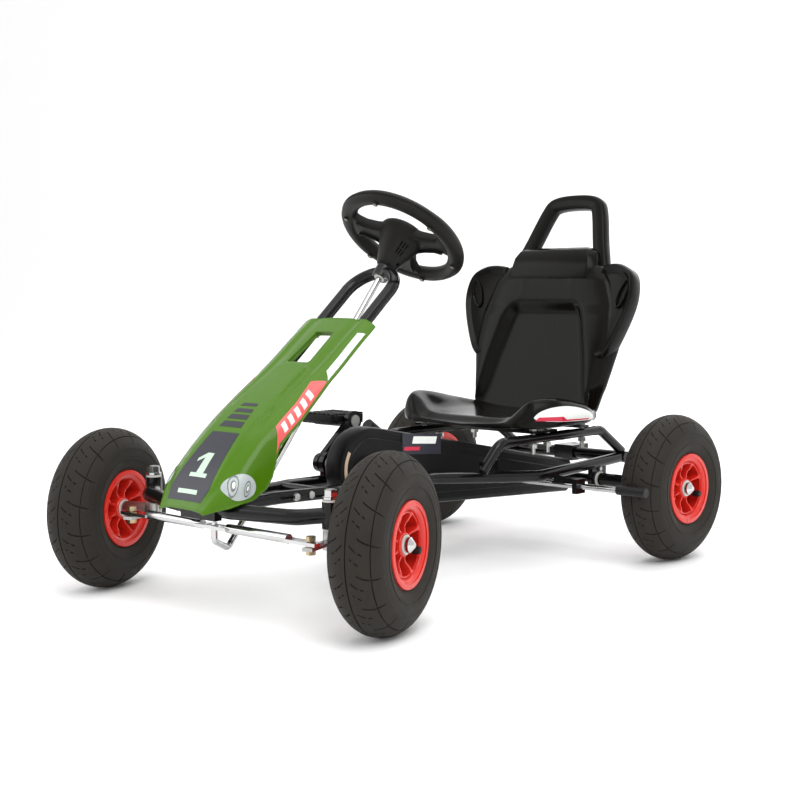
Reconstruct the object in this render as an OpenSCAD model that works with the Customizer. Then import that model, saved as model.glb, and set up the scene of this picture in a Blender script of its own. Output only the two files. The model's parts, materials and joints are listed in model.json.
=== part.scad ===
// Pedal go kart. The kart points along -Y, its left side is +X and the floor is z = 0.
// It stands with its front wheels turned to the left.

/* [Chassis] */
// Distance between the front and rear axles
wheelbase = 752; // [740:1:765]
// Distance of each kingpin from the middle of the kart
king_x = 207; // [203:1:212]
// Distance from a kingpin to the middle of its wheel
king_offset = 87; // [85:1:92]
// Distance of each rear wheel from the middle of the kart
rear_x = 296; // [292:1:302]
// Outer radius of the frame tubes
tube_r = 10; // [9:0.5:11]

/* [Wheels] */
// Outer radius of a tyre
tyre_r = 130; // [128:1:131]
// Radius of the tyre's round section
tyre_section = 43; // [42:0.5:43]
// Outer radius of the rim's flanges
flange_r = 62.4; // [60:0.1:63]
// Number of spokes in a rim
spokes = 8; // [6:1:10]
// Radius of the stub axles and of the rear axle
axle_r = 8; // [7.5:0.1:8.5]

/* [Steering] */
// How far the front wheels are turned to the left
steer = 19.3; // [10:0.1:22]
// Length of a knuckle's steering arm
arm = 60; // [58:1:62]
// Length of the crank at the foot of the steering column
column_crank = 55; // [54:0.5:56]
// Outer radius of the steering wheel
wheel_r = 114; // [108:1:118]

/* [Drive] */
// Teeth on the chainring
ring_teeth = 26; // [24:2:26]
// Teeth on the axle sprocket
sprocket_teeth = 12; // [12:2:12]
// Number of chain links
links = 100; // [100:2:102]
// Radius from the crankshaft to a pedal's spindle
crank_r = 98; // [90:1:100]
// Angle of the right crank above the rear horizontal
crank_angle = 42; // [38:1:46]

/* [Seat] */
// Distance of each seat support tube from the middle
support_x = 130; // [128:1:132]
// Lean of the backrest
lean = 17; // [14:1:18]

/* [Hidden] */
$fn = 48;

pitch = 12.7;                       // chain pitch
centre_y = 12;                      // the middle of the wheelbase, so the whole kart is centred
front_y = centre_y - wheelbase / 2;
rear_y = centre_y + wheelbase / 2;
gap = 0.3;                          // air between parts that only rest on each other
fit = 0.05;                         // radial clearance of a running fit

// The chain's own geometry fixes where the crankshaft sits.
function pitch_r(teeth) = pitch / (2 * sin(180 / teeth));
ring_r = pitch_r(ring_teeth);
sprocket_r = pitch_r(sprocket_teeth);
spare_links = 2 * links - ring_teeth - sprocket_teeth;
chain_span = pitch / 8 * (spare_links
    + sqrt(spare_links * spare_links - 8 / (PI * PI) * pow(ring_teeth - sprocket_teeth, 2)));
crank_z = 194;
crank_y = rear_y - sqrt(chain_span * chain_span - pow(crank_z - tyre_r, 2));
chain_x = 24;
chain_tilt = atan2(tyre_r - crank_z, rear_y - crank_y);
crank_arm_x = 73;

king_top = 184;
beam_z = 162;
tie_z = 132;
bush_wall = 3;
seat_z = 221;                       // centre height of the seat support tubes
tray_z = seat_z + tube_r + gap;
bolt_y = [195, 236, 340];           // the seat's bolts: two in the front strap, one in the rear
straps = [[181, 250], [318, 345]];  // where each cross strap starts and ends
slide = 35;                         // how far the seat can be moved either way
slot_r = 4.5;
back_y = 354;                       // foot of the backrest's face
back_z = 268;
brake_y = rear_y - tyre_r - 7.6;
brake_z = 136.5;
brake_r = 5.5;

// Steering axis: column_foot is on it, and column_dir points up it.
column_rake = 51.3;
column_foot = [0, -382, 96];
column_dir = [0, cos(column_rake), sin(column_rake)];
wheel_at = 613;                     // distance of the steering wheel up the steering axis
hoop_at = 533;                      // distance of the hoop's bearing up the steering axis
column_turn = asin(arm * sin(steer) / column_crank);

hoop_slope = 41.3;
hoop_dir = [0, -cos(hoop_slope), -sin(hoop_slope)];
hoop_r = 10.2;
hoop_x = 50;
hoop_top = column_foot + hoop_at * column_dir;

pedal_x = 82;
pedal_w = 83;

// ---- helpers ----

module rod(a, b, r) {
    d = b - a;
    translate(a) rotate([0, acos(d.z / norm(d)), atan2(d.y, d.x)]) cylinder(h = norm(d), r = r);
}

function unit(v) = v / norm(v);
lap = 1;                            // how far a straight rod runs into a bend
swell = 0.2;                        // extra radius of a bend

// A bent bar or tube: straight rods that run a little way into true bends, which are a touch thicker.
module run(points, r, bend) {
    last = len(points) - 1;
    dirs = [for (i = [0 : last - 1]) unit(points[i + 1] - points[i])];
    turns = [for (i = [1 : last - 1]) acos(min(1, dirs[i - 1] * dirs[i]))];
    cut = concat(0, [for (t = turns) bend * tan(t / 2) - lap], 0);
    for (i = [0 : last - 1]) rod(points[i] + cut[i] * dirs[i], points[i + 1] - cut[i + 1] * dirs[i], r);
    for (i = [1 : last - 1]) {
        axis = unit(cross(dirs[i - 1], dirs[i]));
        side = cross(axis, dirs[i - 1]);
        centre = points[i] - (cut[i] + lap) * dirs[i - 1] + bend * side;
        multmatrix([for (k = [0 : 2]) [-side[k], dirs[i - 1][k], axis[k], centre[k]]])
            rotate_extrude(angle = turns[i - 1]) translate([bend, 0]) circle(r = r + swell);
    }
}

// A cylinder along X between two values of x.
module cyl_x(x0, x1, r) {
    translate([x0, 0, 0]) rotate([0, 90, 0]) cylinder(h = x1 - x0, r = r);
}

module ring_x(x0, x1, r, bore) {
    difference() {
        cyl_x(x0, x1, r);
        cyl_x(x0 - 1, x1 + 1, bore);
    }
}

module hex(r, h) {
    cylinder(h = h, r = r, $fn = 6);
}

function flip_x(points) = [for (p = points) [-p.x, p.y, p.z]];

module both_sides() {
    children();
    mirror([1, 0, 0]) children();
}

// Children are drawn for the left front wheel, with the kingpin on Z and the stub axle along +X.
module on_kingpin(side) {
    translate([side * king_x, front_y, 0]) rotate([0, 0, steer])
        if (side < 0) mirror([1, 0, 0]) children();
        else children();
}

// Children are drawn for a wheel in the plane x = 0 whose outer side faces +X.
module at_wheel(front, side) {
    if (front) on_kingpin(side) translate([king_offset, 0, tyre_r]) children();
    else translate([side * rear_x, rear_y, tyre_r])
        if (side < 0) mirror([1, 0, 0]) children();
        else children();
}

// Children are drawn in the plane z = 0, with the steering axis on Z and forward along -Y.
module on_column(height) {
    translate(column_foot + height * column_dir) rotate([-(90 - column_rake), 0, 0])
        rotate([0, 0, column_turn]) children();
}

// ---- wheel ----

section_r = tyre_r - tyre_section;
seat_r = 50.6;                      // radius on which the tyre's beads sit

module spin_x() {
    rotate([0, 90, 0]) rotate_extrude($fn = 96) children();
}

module wheel_tyre() {
    color([0.16, 0.15, 0.14]) spin_x() difference() {
        translate([section_r, 0]) circle(r = tyre_section);
        translate([section_r, 0]) circle(r = tyre_section - 5);
        translate([0, -50]) square([seat_r + gap, 100]);
    }
}

module wheel_tube() {
    wall = 1.5;
    inner = tyre_section - 5 - gap;
    color([0.1, 0.1, 0.1]) {
        spin_x() difference() {
            intersection() {
                translate([section_r, 0]) circle(r = inner);
                translate([seat_r + 2 * gap, -50]) square([100, 100]);
            }
            intersection() {
                translate([section_r, 0]) circle(r = inner - wall);
                translate([seat_r + 2 * gap + wall, -50]) square([100, 100]);
            }
        }
    }
}

hub_len = 29;
rim_hub_r = 18;
bush_r = axle_r + fit + bush_wall;

module wheel_rim() {
    lip = tyre_section - 6.3;       // where a flange starts to stand outside the tyre
    color([0.78, 0.1, 0.07]) difference() {
        union() {
            spin_x() for (s = [-1, 1]) polygon([[46, 0], [46, s * 38.2], [flange_r, s * 38.2],
                [flange_r, s * lip], [seat_r, s * 25.2], [seat_r, 0]]);
            ring_x(-3, 3, 47, rim_hub_r - 1);
            cyl_x(-hub_len, hub_len, rim_hub_r);
            for (i = [0 : spokes - 1]) rotate([i * 360 / spokes, 0, 0])
                translate([-19, -2.5, rim_hub_r - 2]) cube([38, 5, 48 - rim_hub_r]);
        }
        cyl_x(-hub_len - 1, hub_len + 1, bush_r + fit);
        rotate([22.5 - 135, 0, 0]) translate([18, 0, 30]) cylinder(h = 30, r = 4.4);
    }
}

// Valve stem and cap: it leaves the tube inward through the rim, then bends outboard.
module wheel_valve() {
    color([0.08, 0.08, 0.08]) rotate([22.5 - 135, 0, 0]) run([[18, 0, 53], [18, 0, 36], [44, 0, 31]], 4, 7);
}

module wheel_bushes() {
    color([0.2, 0.2, 0.2]) for (s = [-1, 1]) scale_side(s) {
        ring_x(12, hub_len, bush_r, axle_r + fit);
        ring_x(hub_len, hub_len + 2, 14, axle_r + fit);
    }
}

module scale_side(s) {
    if (s < 0) mirror([1, 0, 0]) children();
    else children();
}

module axle_cap(x) {
    color([0.85, 0.85, 0.87]) translate([x, 0, 0]) rotate([0, 90, 0])
        rotate_extrude() polygon([[0, 10], [4, 10], [11, 4], [11, 0], [axle_r + gap, 0],
            [axle_r + gap, 5], [0, 5]]);
}

// ---- chassis ----

// Centre line of one frame tube, from the front beam to the rear cross tube.
rear_cross = [support_x, 469, 164];
hitch_y = 492;
hitch_r = 6.5;
spine = [[35, -418, 165], [35, -318, 167], [55, -215, 167], [55, 10, 164], [support_x, 215, 153],
    rear_cross];

module frame_tube() {
    color([0.07, 0.07, 0.075]) difference() {
        union() {
            run(spine, tube_r, 60);
            crank_plate();
            axle_plate();
        }
        translate([0, crank_y, crank_z]) cyl_x(40, 80, 14 + fit);
        translate([0, rear_y, tyre_r]) cyl_x(110, 150, axle_r + fit + 2 * bush_wall + fit);
    }
}
module main_frame_left() frame_tube();
module main_frame_right() mirror([1, 0, 0]) frame_tube();

module front_crossmember() {
    color([0.07, 0.07, 0.075]) rod([-62, -232, 167], [62, -232, 167], 8);
}

// The rear cross tube has a square lug, bored for a trailer pin.
module rear_crossmember() {
    lug_from = rear_cross.y - 14;
    color([0.07, 0.07, 0.075]) difference() {
        union() {
            translate([0, rear_cross.y, rear_cross.z]) cyl_x(-support_x - 12, support_x + 12, tube_r + 1);
            translate([-22, lug_from, rear_cross.z - 15]) cube([44, hitch_y + 16 - lug_from, 30]);
        }
        translate([0, hitch_y, 100]) cylinder(h = 100, r = hitch_r);
    }
}

// Upright plate that carries the crankshaft.
module crank_plate() {
    translate([0, crank_y, 0]) {
        translate([55, 0, crank_z]) cyl_x(-5, 5, 20);
        translate([50, -16, 160]) cube([10, 32, crank_z - 160]);
    }
}

// Plate that hangs under the frame tube and carries the rear axle.
module axle_plate() {
    translate([0, rear_y, 0]) {
        translate([support_x, 0, tyre_r]) cyl_x(-5, 5, 24);
        translate([support_x - 5, -22, tyre_r]) cube([10, 44, 30]);
    }
}

module front_beam() {
    side_points = [[-king_x, front_y, 165], [-172, -398, beam_z], [-60, -424, beam_z]];
    color([0.07, 0.07, 0.075]) difference() {
        union() {
            run(concat(side_points, [for (i = [2 : -1 : 0]) flip_x(side_points)[i]]), 11.5, 40);
            both_sides() translate([king_x, front_y, 146]) cylinder(h = king_top - 146, r = 13);
            translate([-40, -438, beam_z - 15]) cube([80, 13, 26]);
        }
        both_sides() translate([king_x, front_y, 100]) cylinder(h = 200, r = 8 + 2 * fit);
    }
}

module slot(from, to) {
    translate([-slot_r, from, 0]) cube([2 * slot_r, to - from, 60]);
    for (y = [from, to]) translate([0, y, 0]) cylinder(h = 60, r = slot_r);
}

module seat_supports() {
    points = [[support_x - 10, 70, 175], [support_x, 104, seat_z], [support_x, 397, seat_z],
        [support_x, 466, 176]];
    color([0.07, 0.07, 0.075]) difference() {
        both_sides() {
            run(points, tube_r - 1, 26);
            translate([support_x - 14, 66, 170]) cube([8, 40, 22]);
        }
        for (ends = [[bolt_y[0], bolt_y[1]], [bolt_y[2], bolt_y[2]]]) both_sides()
            translate([support_x, 0, seat_z - 30]) slot(ends[0] - slide, ends[1] + slide);
    }
}

module steering_hoop() {
    along = function (x, s) hoop_top + [x, 0, 0] + s * hoop_dir;
    leg = [[38, -392, 178], along(hoop_x, 410), along(hoop_x, 0)];
    color([0.07, 0.07, 0.075]) difference() {
        union() {
            run(concat(leg, [for (i = [2 : -1 : 0]) flip_x(leg)[i]]), hoop_r, 46);
            on_column(hoop_at) translate([0, 0, -10]) cylinder(h = 20, r = 14);
        }
        on_column(hoop_at) translate([0, 0, -40]) cylinder(h = 80, r = 9.1);
    }
}

module steering_bushes() {
    color([0.75, 0.75, 0.7]) {
        on_column(hoop_at) difference() {
            translate([0, 0, -11]) cylinder(h = 22, r = 9.05);
            translate([0, 0, -12]) cylinder(h = 24, r = 5 + fit);
        }
        both_sides() translate([king_x, front_y, 144]) difference() {
            union() {
                translate([0, 0, 2.1]) cylinder(h = king_top - 146, r = 8 + fit);
                translate([0, 0, -1]) cylinder(h = 2.8, r = 12);
                translate([0, 0, king_top - 144 + 0.2]) cylinder(h = 3, r = 12);
            }
            translate([0, 0, -5]) cylinder(h = 60, r = 6 + fit);
        }
    }
}

module crank_bushes() {
    color([0.8, 0.8, 0.78]) both_sides() translate([0, crank_y, crank_z])
        ring_x(49.5, 60.5, 14, 8 + fit);
}

module axle_bushes() {
    color([0.8, 0.8, 0.78]) both_sides() translate([0, rear_y, tyre_r])
        ring_x(support_x - 8, support_x + 8, axle_r + fit + 2 * bush_wall, axle_r + fit);
}

// Bent straps that hold the brake bar under the frame tubes.
module brake_guides() {
    x = 188;
    color([0.07, 0.07, 0.075]) both_sides() difference() {
        union() {
            translate([x - 5, brake_y - 12, brake_z - 13]) cube([10, 26, 26]);
            translate([support_x + 8, brake_y - 6, brake_z + 5]) cube([x - support_x - 3, 18, 8]);
        }
        translate([0, brake_y, brake_z]) cyl_x(100, x + 20, brake_r + fit);
    }
}

module bolt(r, length) {
    hex(r * 1.8, r * 1.3);
    translate([0, 0, -length]) cylinder(h = length, r = r);
}

module frame_bolts() {
    color([0.8, 0.8, 0.82]) {
        for (y = [-292, -262]) translate([52, y, 167.5]) rotate([0, 90, 0]) hex(6, 5);
        both_sides() for (z = [tyre_r - 19.5, tyre_r + 19.5])
            translate([support_x + 5 + gap, rear_y, z]) rotate([0, 90, 0]) hex(4, 4);
    }
}

// ---- fairing ----

// The fairing's ridge runs from its top edge at t = 0 to its nose at t = 1.
ridge = [[-151, 443], [-186, 418], [-239, 375], [-330, 315], [-385, 271], [-440, 213], [-468, 168]];
function lerp(a, b, t) = a + (b - a) * t;
function ridge_at(t) = let (n = len(ridge) - 1, i = min(floor(t * n), n - 1))
    lerp(ridge[i], ridge[i + 1], t * n - i);
function skirt(t) = lookup(t, [[0, 20], [0.35, 34], [0.52, 40], [0.6, 62], [0.7, 70], [0.85, 38], [1, 5]]);
function half_width(t) = lookup(t, [[0, 60], [0.7, 58], [1, 42]]);
function fairing_row(t, inset) = let (p = ridge_at(t), w = half_width(t), d = skirt(t), s = 6) [
    for (q = [[-w - 22, -d - 2], [-w - 17, -s - 10], [-w, -s], [-w * 0.7, 0], [0, 2],
        [w * 0.7, 0], [w, -s], [w + 17, -s - 10], [w + 22, -d - 2]])
        [q.x * (1 - inset / 90), p.x + inset * 0.64, p.y + q.y - inset * 0.77]];

fairing_steps = 16;
module shell(outer, inner) {
    rows = len(outer);
    cols = len(outer[0]);
    points = [for (r = outer) each r, for (r = inner) each r];
    base = rows * cols;
    polyhedron(points, concat(
        [for (i = [0 : rows - 2], j = [0 : cols - 2]) let (a = i * cols + j)
            each [[a, a + cols, a + cols + 1], [a, a + cols + 1, a + 1]]],
        [for (i = [0 : rows - 2], j = [0 : cols - 2]) let (a = base + i * cols + j)
            each [[a, a + cols + 1, a + cols], [a, a + 1, a + cols + 1]]],
        [for (i = [0 : rows - 2]) let (a = i * cols, b = base + a)
            each [[a, b, b + cols], [a, b + cols, a + cols]]],
        [for (i = [0 : rows - 2]) let (a = i * cols + cols - 1, b = base + a)
            each [[a, b + cols, b], [a, a + cols, b + cols]]],
        [for (j = [0 : cols - 2]) let (b = base + j) each [[j, b + 1, b], [j, j + 1, b + 1]]],
        [for (j = [0 : cols - 2]) let (a = (rows - 1) * cols + j, b = base + a)
            each [[a, b, b + 1], [a, b + 1, a + 1]]]));
}

module front_fairing() {
    ts = [for (i = [0 : fairing_steps]) i / fairing_steps];
    color([0.33, 0.52, 0.16]) difference() {
        shell([for (t = ts) fairing_row(t, 0)], [for (t = ts) fairing_row(t, 3)]);
        // window over the steering column
        translate([-25, -240, 340]) cube([50, 54, 120]);
    }
}

module fairing_screws() {
    color([0.6, 0.6, 0.62]) both_sides() for (t = [0.12, 0.8]) {
        p = fairing_row(t, 8)[3];
        translate([-p.x, p.y + 2, p.z - 4]) rotate([50, 0, 0]) bolt(3, 12);
    }
}

// ---- drive ----

module chain_path(extra) {
    hull() {
        circle(r = ring_r + extra);
        translate([chain_span, 0]) circle(r = sprocket_r + extra);
    }
}

// Children are drawn in a plane with the crankshaft at the origin and the rear axle along +X.
module on_chain_line(x) {
    translate([x, crank_y, crank_z]) rotate([0, 0, 90]) rotate([90, -chain_tilt, 0]) children();
}

module chain_guard_outer() {
    color([0.1, 0.1, 0.105]) difference() {
        on_chain_line(chain_x) translate([0, 0, -2]) linear_extrude(22) guard_outline(0);
        on_chain_line(chain_x) translate([0, 0, -5]) linear_extrude(22) guard_outline(-2.6);
        translate([0, crank_y, crank_z]) cyl_x(30, 60, 10);
        translate([0, rear_y, tyre_r]) cyl_x(30, 60, 10);
        translate([0, brake_y, brake_z]) cyl_x(30, 60, brake_r + 1.5);
    }
}

module chain_guard_inner() {
    color([0.1, 0.1, 0.105]) difference() {
        on_chain_line(chain_x) translate([0, 0, -20 - gap]) linear_extrude(18) guard_outline(0);
        on_chain_line(chain_x) translate([0, 0, -17 - gap]) linear_extrude(20) guard_outline(-2.6);
        translate([0, crank_y, crank_z]) cyl_x(-10, 15, 10);
        translate([0, rear_y, tyre_r]) cyl_x(-10, 15, 10);
        translate([0, brake_y, brake_z]) cyl_x(-10, 15, brake_r + 1.5);
    }
}

// Side view of the guard: round over the chainring, square-cut behind the axle sprocket.
module guard_outline(extra) {
    hull() {
        circle(r = 67 + extra);
        translate([chain_span, 0]) square([76 + 2 * extra, 62 + 2 * extra], center = true);
    }
}

module sprocket(teeth, r, bore) {
    tip = r - 2.4;
    difference() {
        union() {
            cylinder(h = 3, r = tip - 3, center = true);
            for (i = [0 : teeth - 1]) rotate([0, 0, i * 360 / teeth])
                translate([tip - 4, -1.8, -1.5]) cube([4, 3.6, 3]);
        }
        cylinder(h = 40, r = bore, center = true);
    }
}

function chain_point(s) = let (
        lean_in = asin((ring_r - sprocket_r) / chain_span),
        straight = chain_span * cos(lean_in),
        front_arc = PI * ring_r * (180 + 2 * lean_in) / 180,
        rear_arc = PI * sprocket_r * (180 - 2 * lean_in) / 180,
        a = s - straight, b = a - rear_arc, c = b - straight)
    a < 0 ? ring_r * [sin(lean_in), cos(lean_in)] + s * [cos(lean_in), -sin(lean_in)]
    : b < 0 ? [chain_span, 0] + sprocket_r * [sin(lean_in + 180 * a / (PI * sprocket_r)),
        cos(lean_in + 180 * a / (PI * sprocket_r))]
    : c < 0 ? [chain_span, 0] + sprocket_r * [sin(lean_in), -cos(lean_in)]
        + b * [-cos(lean_in), -sin(lean_in)]
    : ring_r * [-sin(180 * c / (PI * ring_r) - lean_in), -cos(180 * c / (PI * ring_r) - lean_in)];

module chain() {
    color([0.45, 0.42, 0.38]) on_chain_line(chain_x) {
        for (z = [-3.6, 2.4]) translate([0, 0, z]) linear_extrude(1.2) difference() {
            chain_path(3.5);
            chain_path(-3.5);
        }
        for (i = [0 : links - 1]) translate(concat(chain_point(i * pitch), -3)) cylinder(h = 6, r = 2, $fn = 16);
    }
}

module crankshaft() {
    color([0.12, 0.12, 0.125]) difference() {
        translate([0, crank_y, crank_z]) union() {
            cyl_x(-crank_arm_x - 5, crank_arm_x + 5, 8);
            for (s = [-1, 1]) rotate([s < 0 ? crank_angle : crank_angle + 180, 0, 0])
                translate([s * crank_arm_x, 0, 0]) {
                    translate([-5, 0, -11]) cube([10, crank_r, 22]);
                    translate([0, crank_r, 0]) cyl_x(-5, 5, 17);
                    cyl_x(-5, 5, 16);
                }
        }
        for (s = [-1, 1]) pedal_place(s) cyl_x(-20, 20, 6 + gap);
    }
}

// Children are drawn round a pedal's spindle, at the crank arm.
module pedal_place(s) {
    a = s < 0 ? crank_angle : crank_angle + 180;
    translate([s * crank_arm_x, crank_y + crank_r * cos(a), crank_z + crank_r * sin(a)])
        if (s < 0) mirror([1, 0, 0]) children();
        else children();
}

module chainring() {
    color([0.5, 0.5, 0.5]) on_chain_line(chain_x) difference() {
        sprocket(ring_teeth, ring_r, 8 + gap);
        for (i = [0 : 4]) rotate([0, 0, i * 72]) translate([30, 0, -5]) cylinder(h = 10, r = 9);
    }
}

module axle_sprocket() {
    color([0.5, 0.5, 0.5]) on_chain_line(chain_x) translate([chain_span, 0, 0])
        sprocket(sprocket_teeth, sprocket_r, axle_r + gap);
}

module pedal_spindles() {
    color([0.7, 0.7, 0.72]) for (s = [-1, 1]) pedal_place(s) {
        cyl_x(-5, pedal_w + 6, 6);
        cyl_x(pedal_w + 6 + 3.1, pedal_w + 12, 8);
        cyl_x(pedal_w + 5, pedal_w + 10, 4);
        cyl_x(-7.3, -5, 10);
    }
}

module pedal(s) {
    color([0.09, 0.09, 0.09]) pedal_place(s) difference() {
        union() {
            cyl_x(8, 8 + pedal_w, 12);
            translate([8, -38, -3]) cube([pedal_w, 76, 13]);
            for (y = [-36 : 12 : 36]) translate([8, y - 2, 9]) cube([pedal_w, 4, 4]);
        }
        cyl_x(0, 200, 6 + fit);
        cyl_x(pedal_w + 5, 200, 9);
    }
}
module left_pedal() pedal(1);
module right_pedal() pedal(-1);

axle_end = rear_x + 35;
module rear_axle() {
    color([0.1, 0.1, 0.1]) translate([0, rear_y, tyre_r]) difference() {
        union() {
            cyl_x(-axle_end, axle_end, axle_r);
            both_sides() ring_x(support_x + 10, rear_x - hub_len - 4, axle_r + 4, axle_r - 1);
            ring_x(chain_x + 2, chain_x + 12, 15, axle_r - 1);
        }
        translate([rear_x - hub_len - 12, 0, -20]) cylinder(h = 40, r = 2.1);
    }
}

module axle_pin() {
    color([0.75, 0.75, 0.75]) translate([rear_x - hub_len - 12, rear_y, tyre_r - 16]) cylinder(h = 32, r = 2);
}

module axle_caps() {
    for (s = [-1, 1]) translate([0, rear_y, tyre_r]) scale_side(s) axle_cap(axle_end - 2);
}

// ---- steering ----

module knuckle(side) {
    color([0.72, 0.72, 0.7]) on_kingpin(side) {
        rod([0, 0, 118], [0, 0, king_top + 18], 6);
        translate([0, 0, 116]) cylinder(h = 26.5, r = 12);
        translate([0, 0, tyre_r]) cyl_x(0, king_offset + 35, axle_r);
        translate([0, 0, tyre_r]) cyl_x(10, king_offset - hub_len - 4, 12);
        difference() {
            translate([-8, -arm - 11, tie_z - 7]) cube([16, arm, 5]);
            translate([0, -arm, 100]) cylinder(h = 60, r = 4.3);
        }
    }
}
module left_knuckle() knuckle(1);
module right_knuckle() knuckle(-1);

module knuckle_hardware(side) {
    color([0.75, 0.65, 0.4]) on_kingpin(side) {
        translate([0, 0, king_top + 4]) difference() {
            union() {
                cylinder(h = 3, r = 12);
                translate([0, 0, 3]) hex(10, 10);
            }
            translate([0, 0, -1]) cylinder(h = 30, r = 6 + fit);
        }
        translate([0, 0, tyre_r]) axle_cap(king_offset + 33);
    }
}
module left_knuckle_hardware() knuckle_hardware(1);
module right_knuckle_hardware() knuckle_hardware(-1);

// World position of a steering arm's end.
function arm_end(side) = [side * king_x + arm * sin(steer), front_y - arm * cos(steer), tie_z];

module tie_rod() {
    a = arm_end(-1);
    b = arm_end(1);
    mid = [arm * sin(steer), a.y, tie_z];
    color([0.8, 0.8, 0.8]) difference() {
        union() {
            rod(a + [45, 0, 4], mid - [30, 0, -4], 7);
            rod(mid + [30, 0, 4], b - [45, 0, -4], 7);
            for (e = [a + [15, 0, 0], b - [15, 0, 0]]) translate(e + [-32, -9, 0]) cube([64, 18, 5]);
            translate(mid + [-36, -11, 1]) cube([72, 22, 5]);
        }
        for (e = [a, b]) translate(e - [0, 0, 20]) cylinder(h = 40, r = 4 + 4 * gap);
        for (x = [-10, 0, 10]) translate(mid + [x, 0, -20]) cylinder(h = 40, r = 8);
    }
}

module tie_rod_bolts() {
    color([0.75, 0.7, 0.5]) for (s = [-1, 1]) translate(arm_end(s)) {
        translate([0, 0, -13]) cylinder(h = 26, r = 4);
        translate([0, 0, -13]) hex(7, 5.5);
        translate([0, 0, 6]) hex(7, 7);
    }
}

module steering_column() {
    color([0.78, 0.78, 0.8])
        run([column_foot + 606 * column_dir, column_foot, column_pin - [0, 0, 14], column_pin + [0, 0, 14]], 5, 9);
}

column_side = cross([1, 0, 0], column_dir);
column_pin = column_foot + column_crank *
    (sin(column_turn) * [1, 0, 0] + cos(column_turn) * column_side);

module steering_wheel_rim() {
    color([0.09, 0.09, 0.09]) on_column(wheel_at) {
        rotate_extrude($fn = 96) translate([wheel_r - 14, 0]) circle(r = 14);
        for (a = [-8, 98, 188]) rotate([0, 0, a]) translate([30, -16, -9]) cube([wheel_r - 52, 32, 14]);
    }
}

module steering_wheel_hub() {
    color([0.09, 0.09, 0.09]) on_column(wheel_at) difference() {
        union() {
            translate([0, 0, -66]) cylinder(h = 62, r1 = 17, r2 = 42);
            translate([0, 0, -4]) cylinder(h = 12, r = 42);
        }
        translate([0, 0, -80]) cylinder(h = 70, r = 5 + fit);
        for (a = [-1 : 1]) rotate([0, 0, 32 + a * 12]) translate([24, -1.5, -52]) cube([20, 3, 26]);
        translate([0, 0, -11]) cylinder(h = 14, r = 34);
    }
}

module steering_wheel_screws() {
    color([0.5, 0.5, 0.5]) on_column(wheel_at)
        for (i = [0 : 5]) rotate([0, 0, 20 + i * 60]) translate([wheel_r - 14, 0, -15.5]) cylinder(h = 4, r = 3);
}

module column_nut() {
    color([0.8, 0.8, 0.8]) on_column(wheel_at - 11) difference() {
        translate([0, 0, gap]) hex(8, 7);
        translate([0, 0, -1]) cylinder(h = 12, r = 5 + fit);
    }
}

// ---- brake ----

lever_x = -200;
module brake_bar() {
    color([0.8, 0.8, 0.8]) translate([0, brake_y, brake_z]) cyl_x(-rear_x - 33, rear_x + 33, brake_r);
    color([0.8, 0.8, 0.8]) rod([lever_x, brake_y, brake_z], [lever_x, brake_y - 130, brake_z + 90], 6);
}

module brake_tips() {
    color([0.08, 0.08, 0.08]) both_sides() translate([0, brake_y, brake_z])
        difference() {
            translate([0, 2 * cos(150), 2 * sin(150)]) cyl_x(rear_x - 22, rear_x + 37, brake_r + 2.7);
            cyl_x(0, rear_x + 34, brake_r + fit);
        }
}

module brake_grip() {
    lever = [0, -130, 90] / norm([0, -130, 90]);
    foot = [lever_x, brake_y, brake_z];
    color([0.08, 0.08, 0.08]) difference() {
        rod(foot + 90 * lever, foot + 168 * lever, 12);
        rod(foot + 60 * lever, foot + norm([0, -130, 90]) * lever + 0.3 * lever, 6 + fit);
    }
}

// ---- seat ----

// The pan is drawn across its width; the side bolsters rise towards the rear.
pan_front = 146;
pan_rear = 372;
function pan_row(t, low) = let (y = lerp(pan_front, pan_rear, t), w = lerp(148, 182, min(1, t * 3)),
        rise = 28 * sin(180 * pow(t, 0.55)), z = lerp(250, 258, t)) low
    ? [for (q = [[-w, 4 + rise * 0.3], [-w * 0.94, -9], [-w * 0.8, -13], [0, -13], [w * 0.8, -13],
        [w * 0.94, -9], [w, 4 + rise * 0.3]]) [q.x, y, z + q.y]]
    : [for (q = [[-w + 0.5, 8 + rise * 0.9], [-w * 0.9, 6 + rise], [-w * 0.72, 4], [0, 0],
        [w * 0.72, 4], [w * 0.9, 6 + rise], [w - 0.5, 8 + rise * 0.9]]) [q.x, y, z + q.y]];

module seat_base() {
    ts = [for (i = [0 : 12]) i / 12];
    color([0.06, 0.06, 0.06]) shell([for (t = ts) pan_row(t, false)], [for (t = ts) pan_row(t, true)]);
}

// Children are drawn with x across, y up the backrest and z out of its rear.
module on_back() {
    translate([0, back_y, back_z]) rotate([90 - lean, 0, 0]) mirror([0, 0, 1]) children();
}

module seat_back() {
    thick = 34;
    color([0.06, 0.06, 0.06]) on_back() difference() {
        union() {
            linear_extrude(thick) polygon([[-108, -28], [-150, 30], [-172, 116], [-166, 190], [-150, 262],
                [-120, 285], [120, 285], [150, 262], [166, 190], [172, 116], [150, 30], [108, -28]]);
            for (s = [-1, 1]) translate([0, 0, -22]) linear_extrude(50) polygon([[s * 160, 90],
                [s * 206, 196], [s * 196, 240], [s * 168, 272], [s * 140, 268], [s * 158, 190]]);
            translate([0, 282, 3]) rotate([8, 0, 0]) linear_extrude(30) difference() {
                polygon([[-116, -12], [-102, 28], [-78, 116], [-54, 146], [54, 146], [78, 116], [102, 28],
                    [116, -12]]);
                polygon([[-82, 30], [-54, 100], [54, 100], [82, 30]]);
            }
        }
        translate([0, 0, -1]) linear_extrude(8) polygon([[-122, 8], [-79, 192], [79, 192], [122, 8]]);
    }
}

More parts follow.
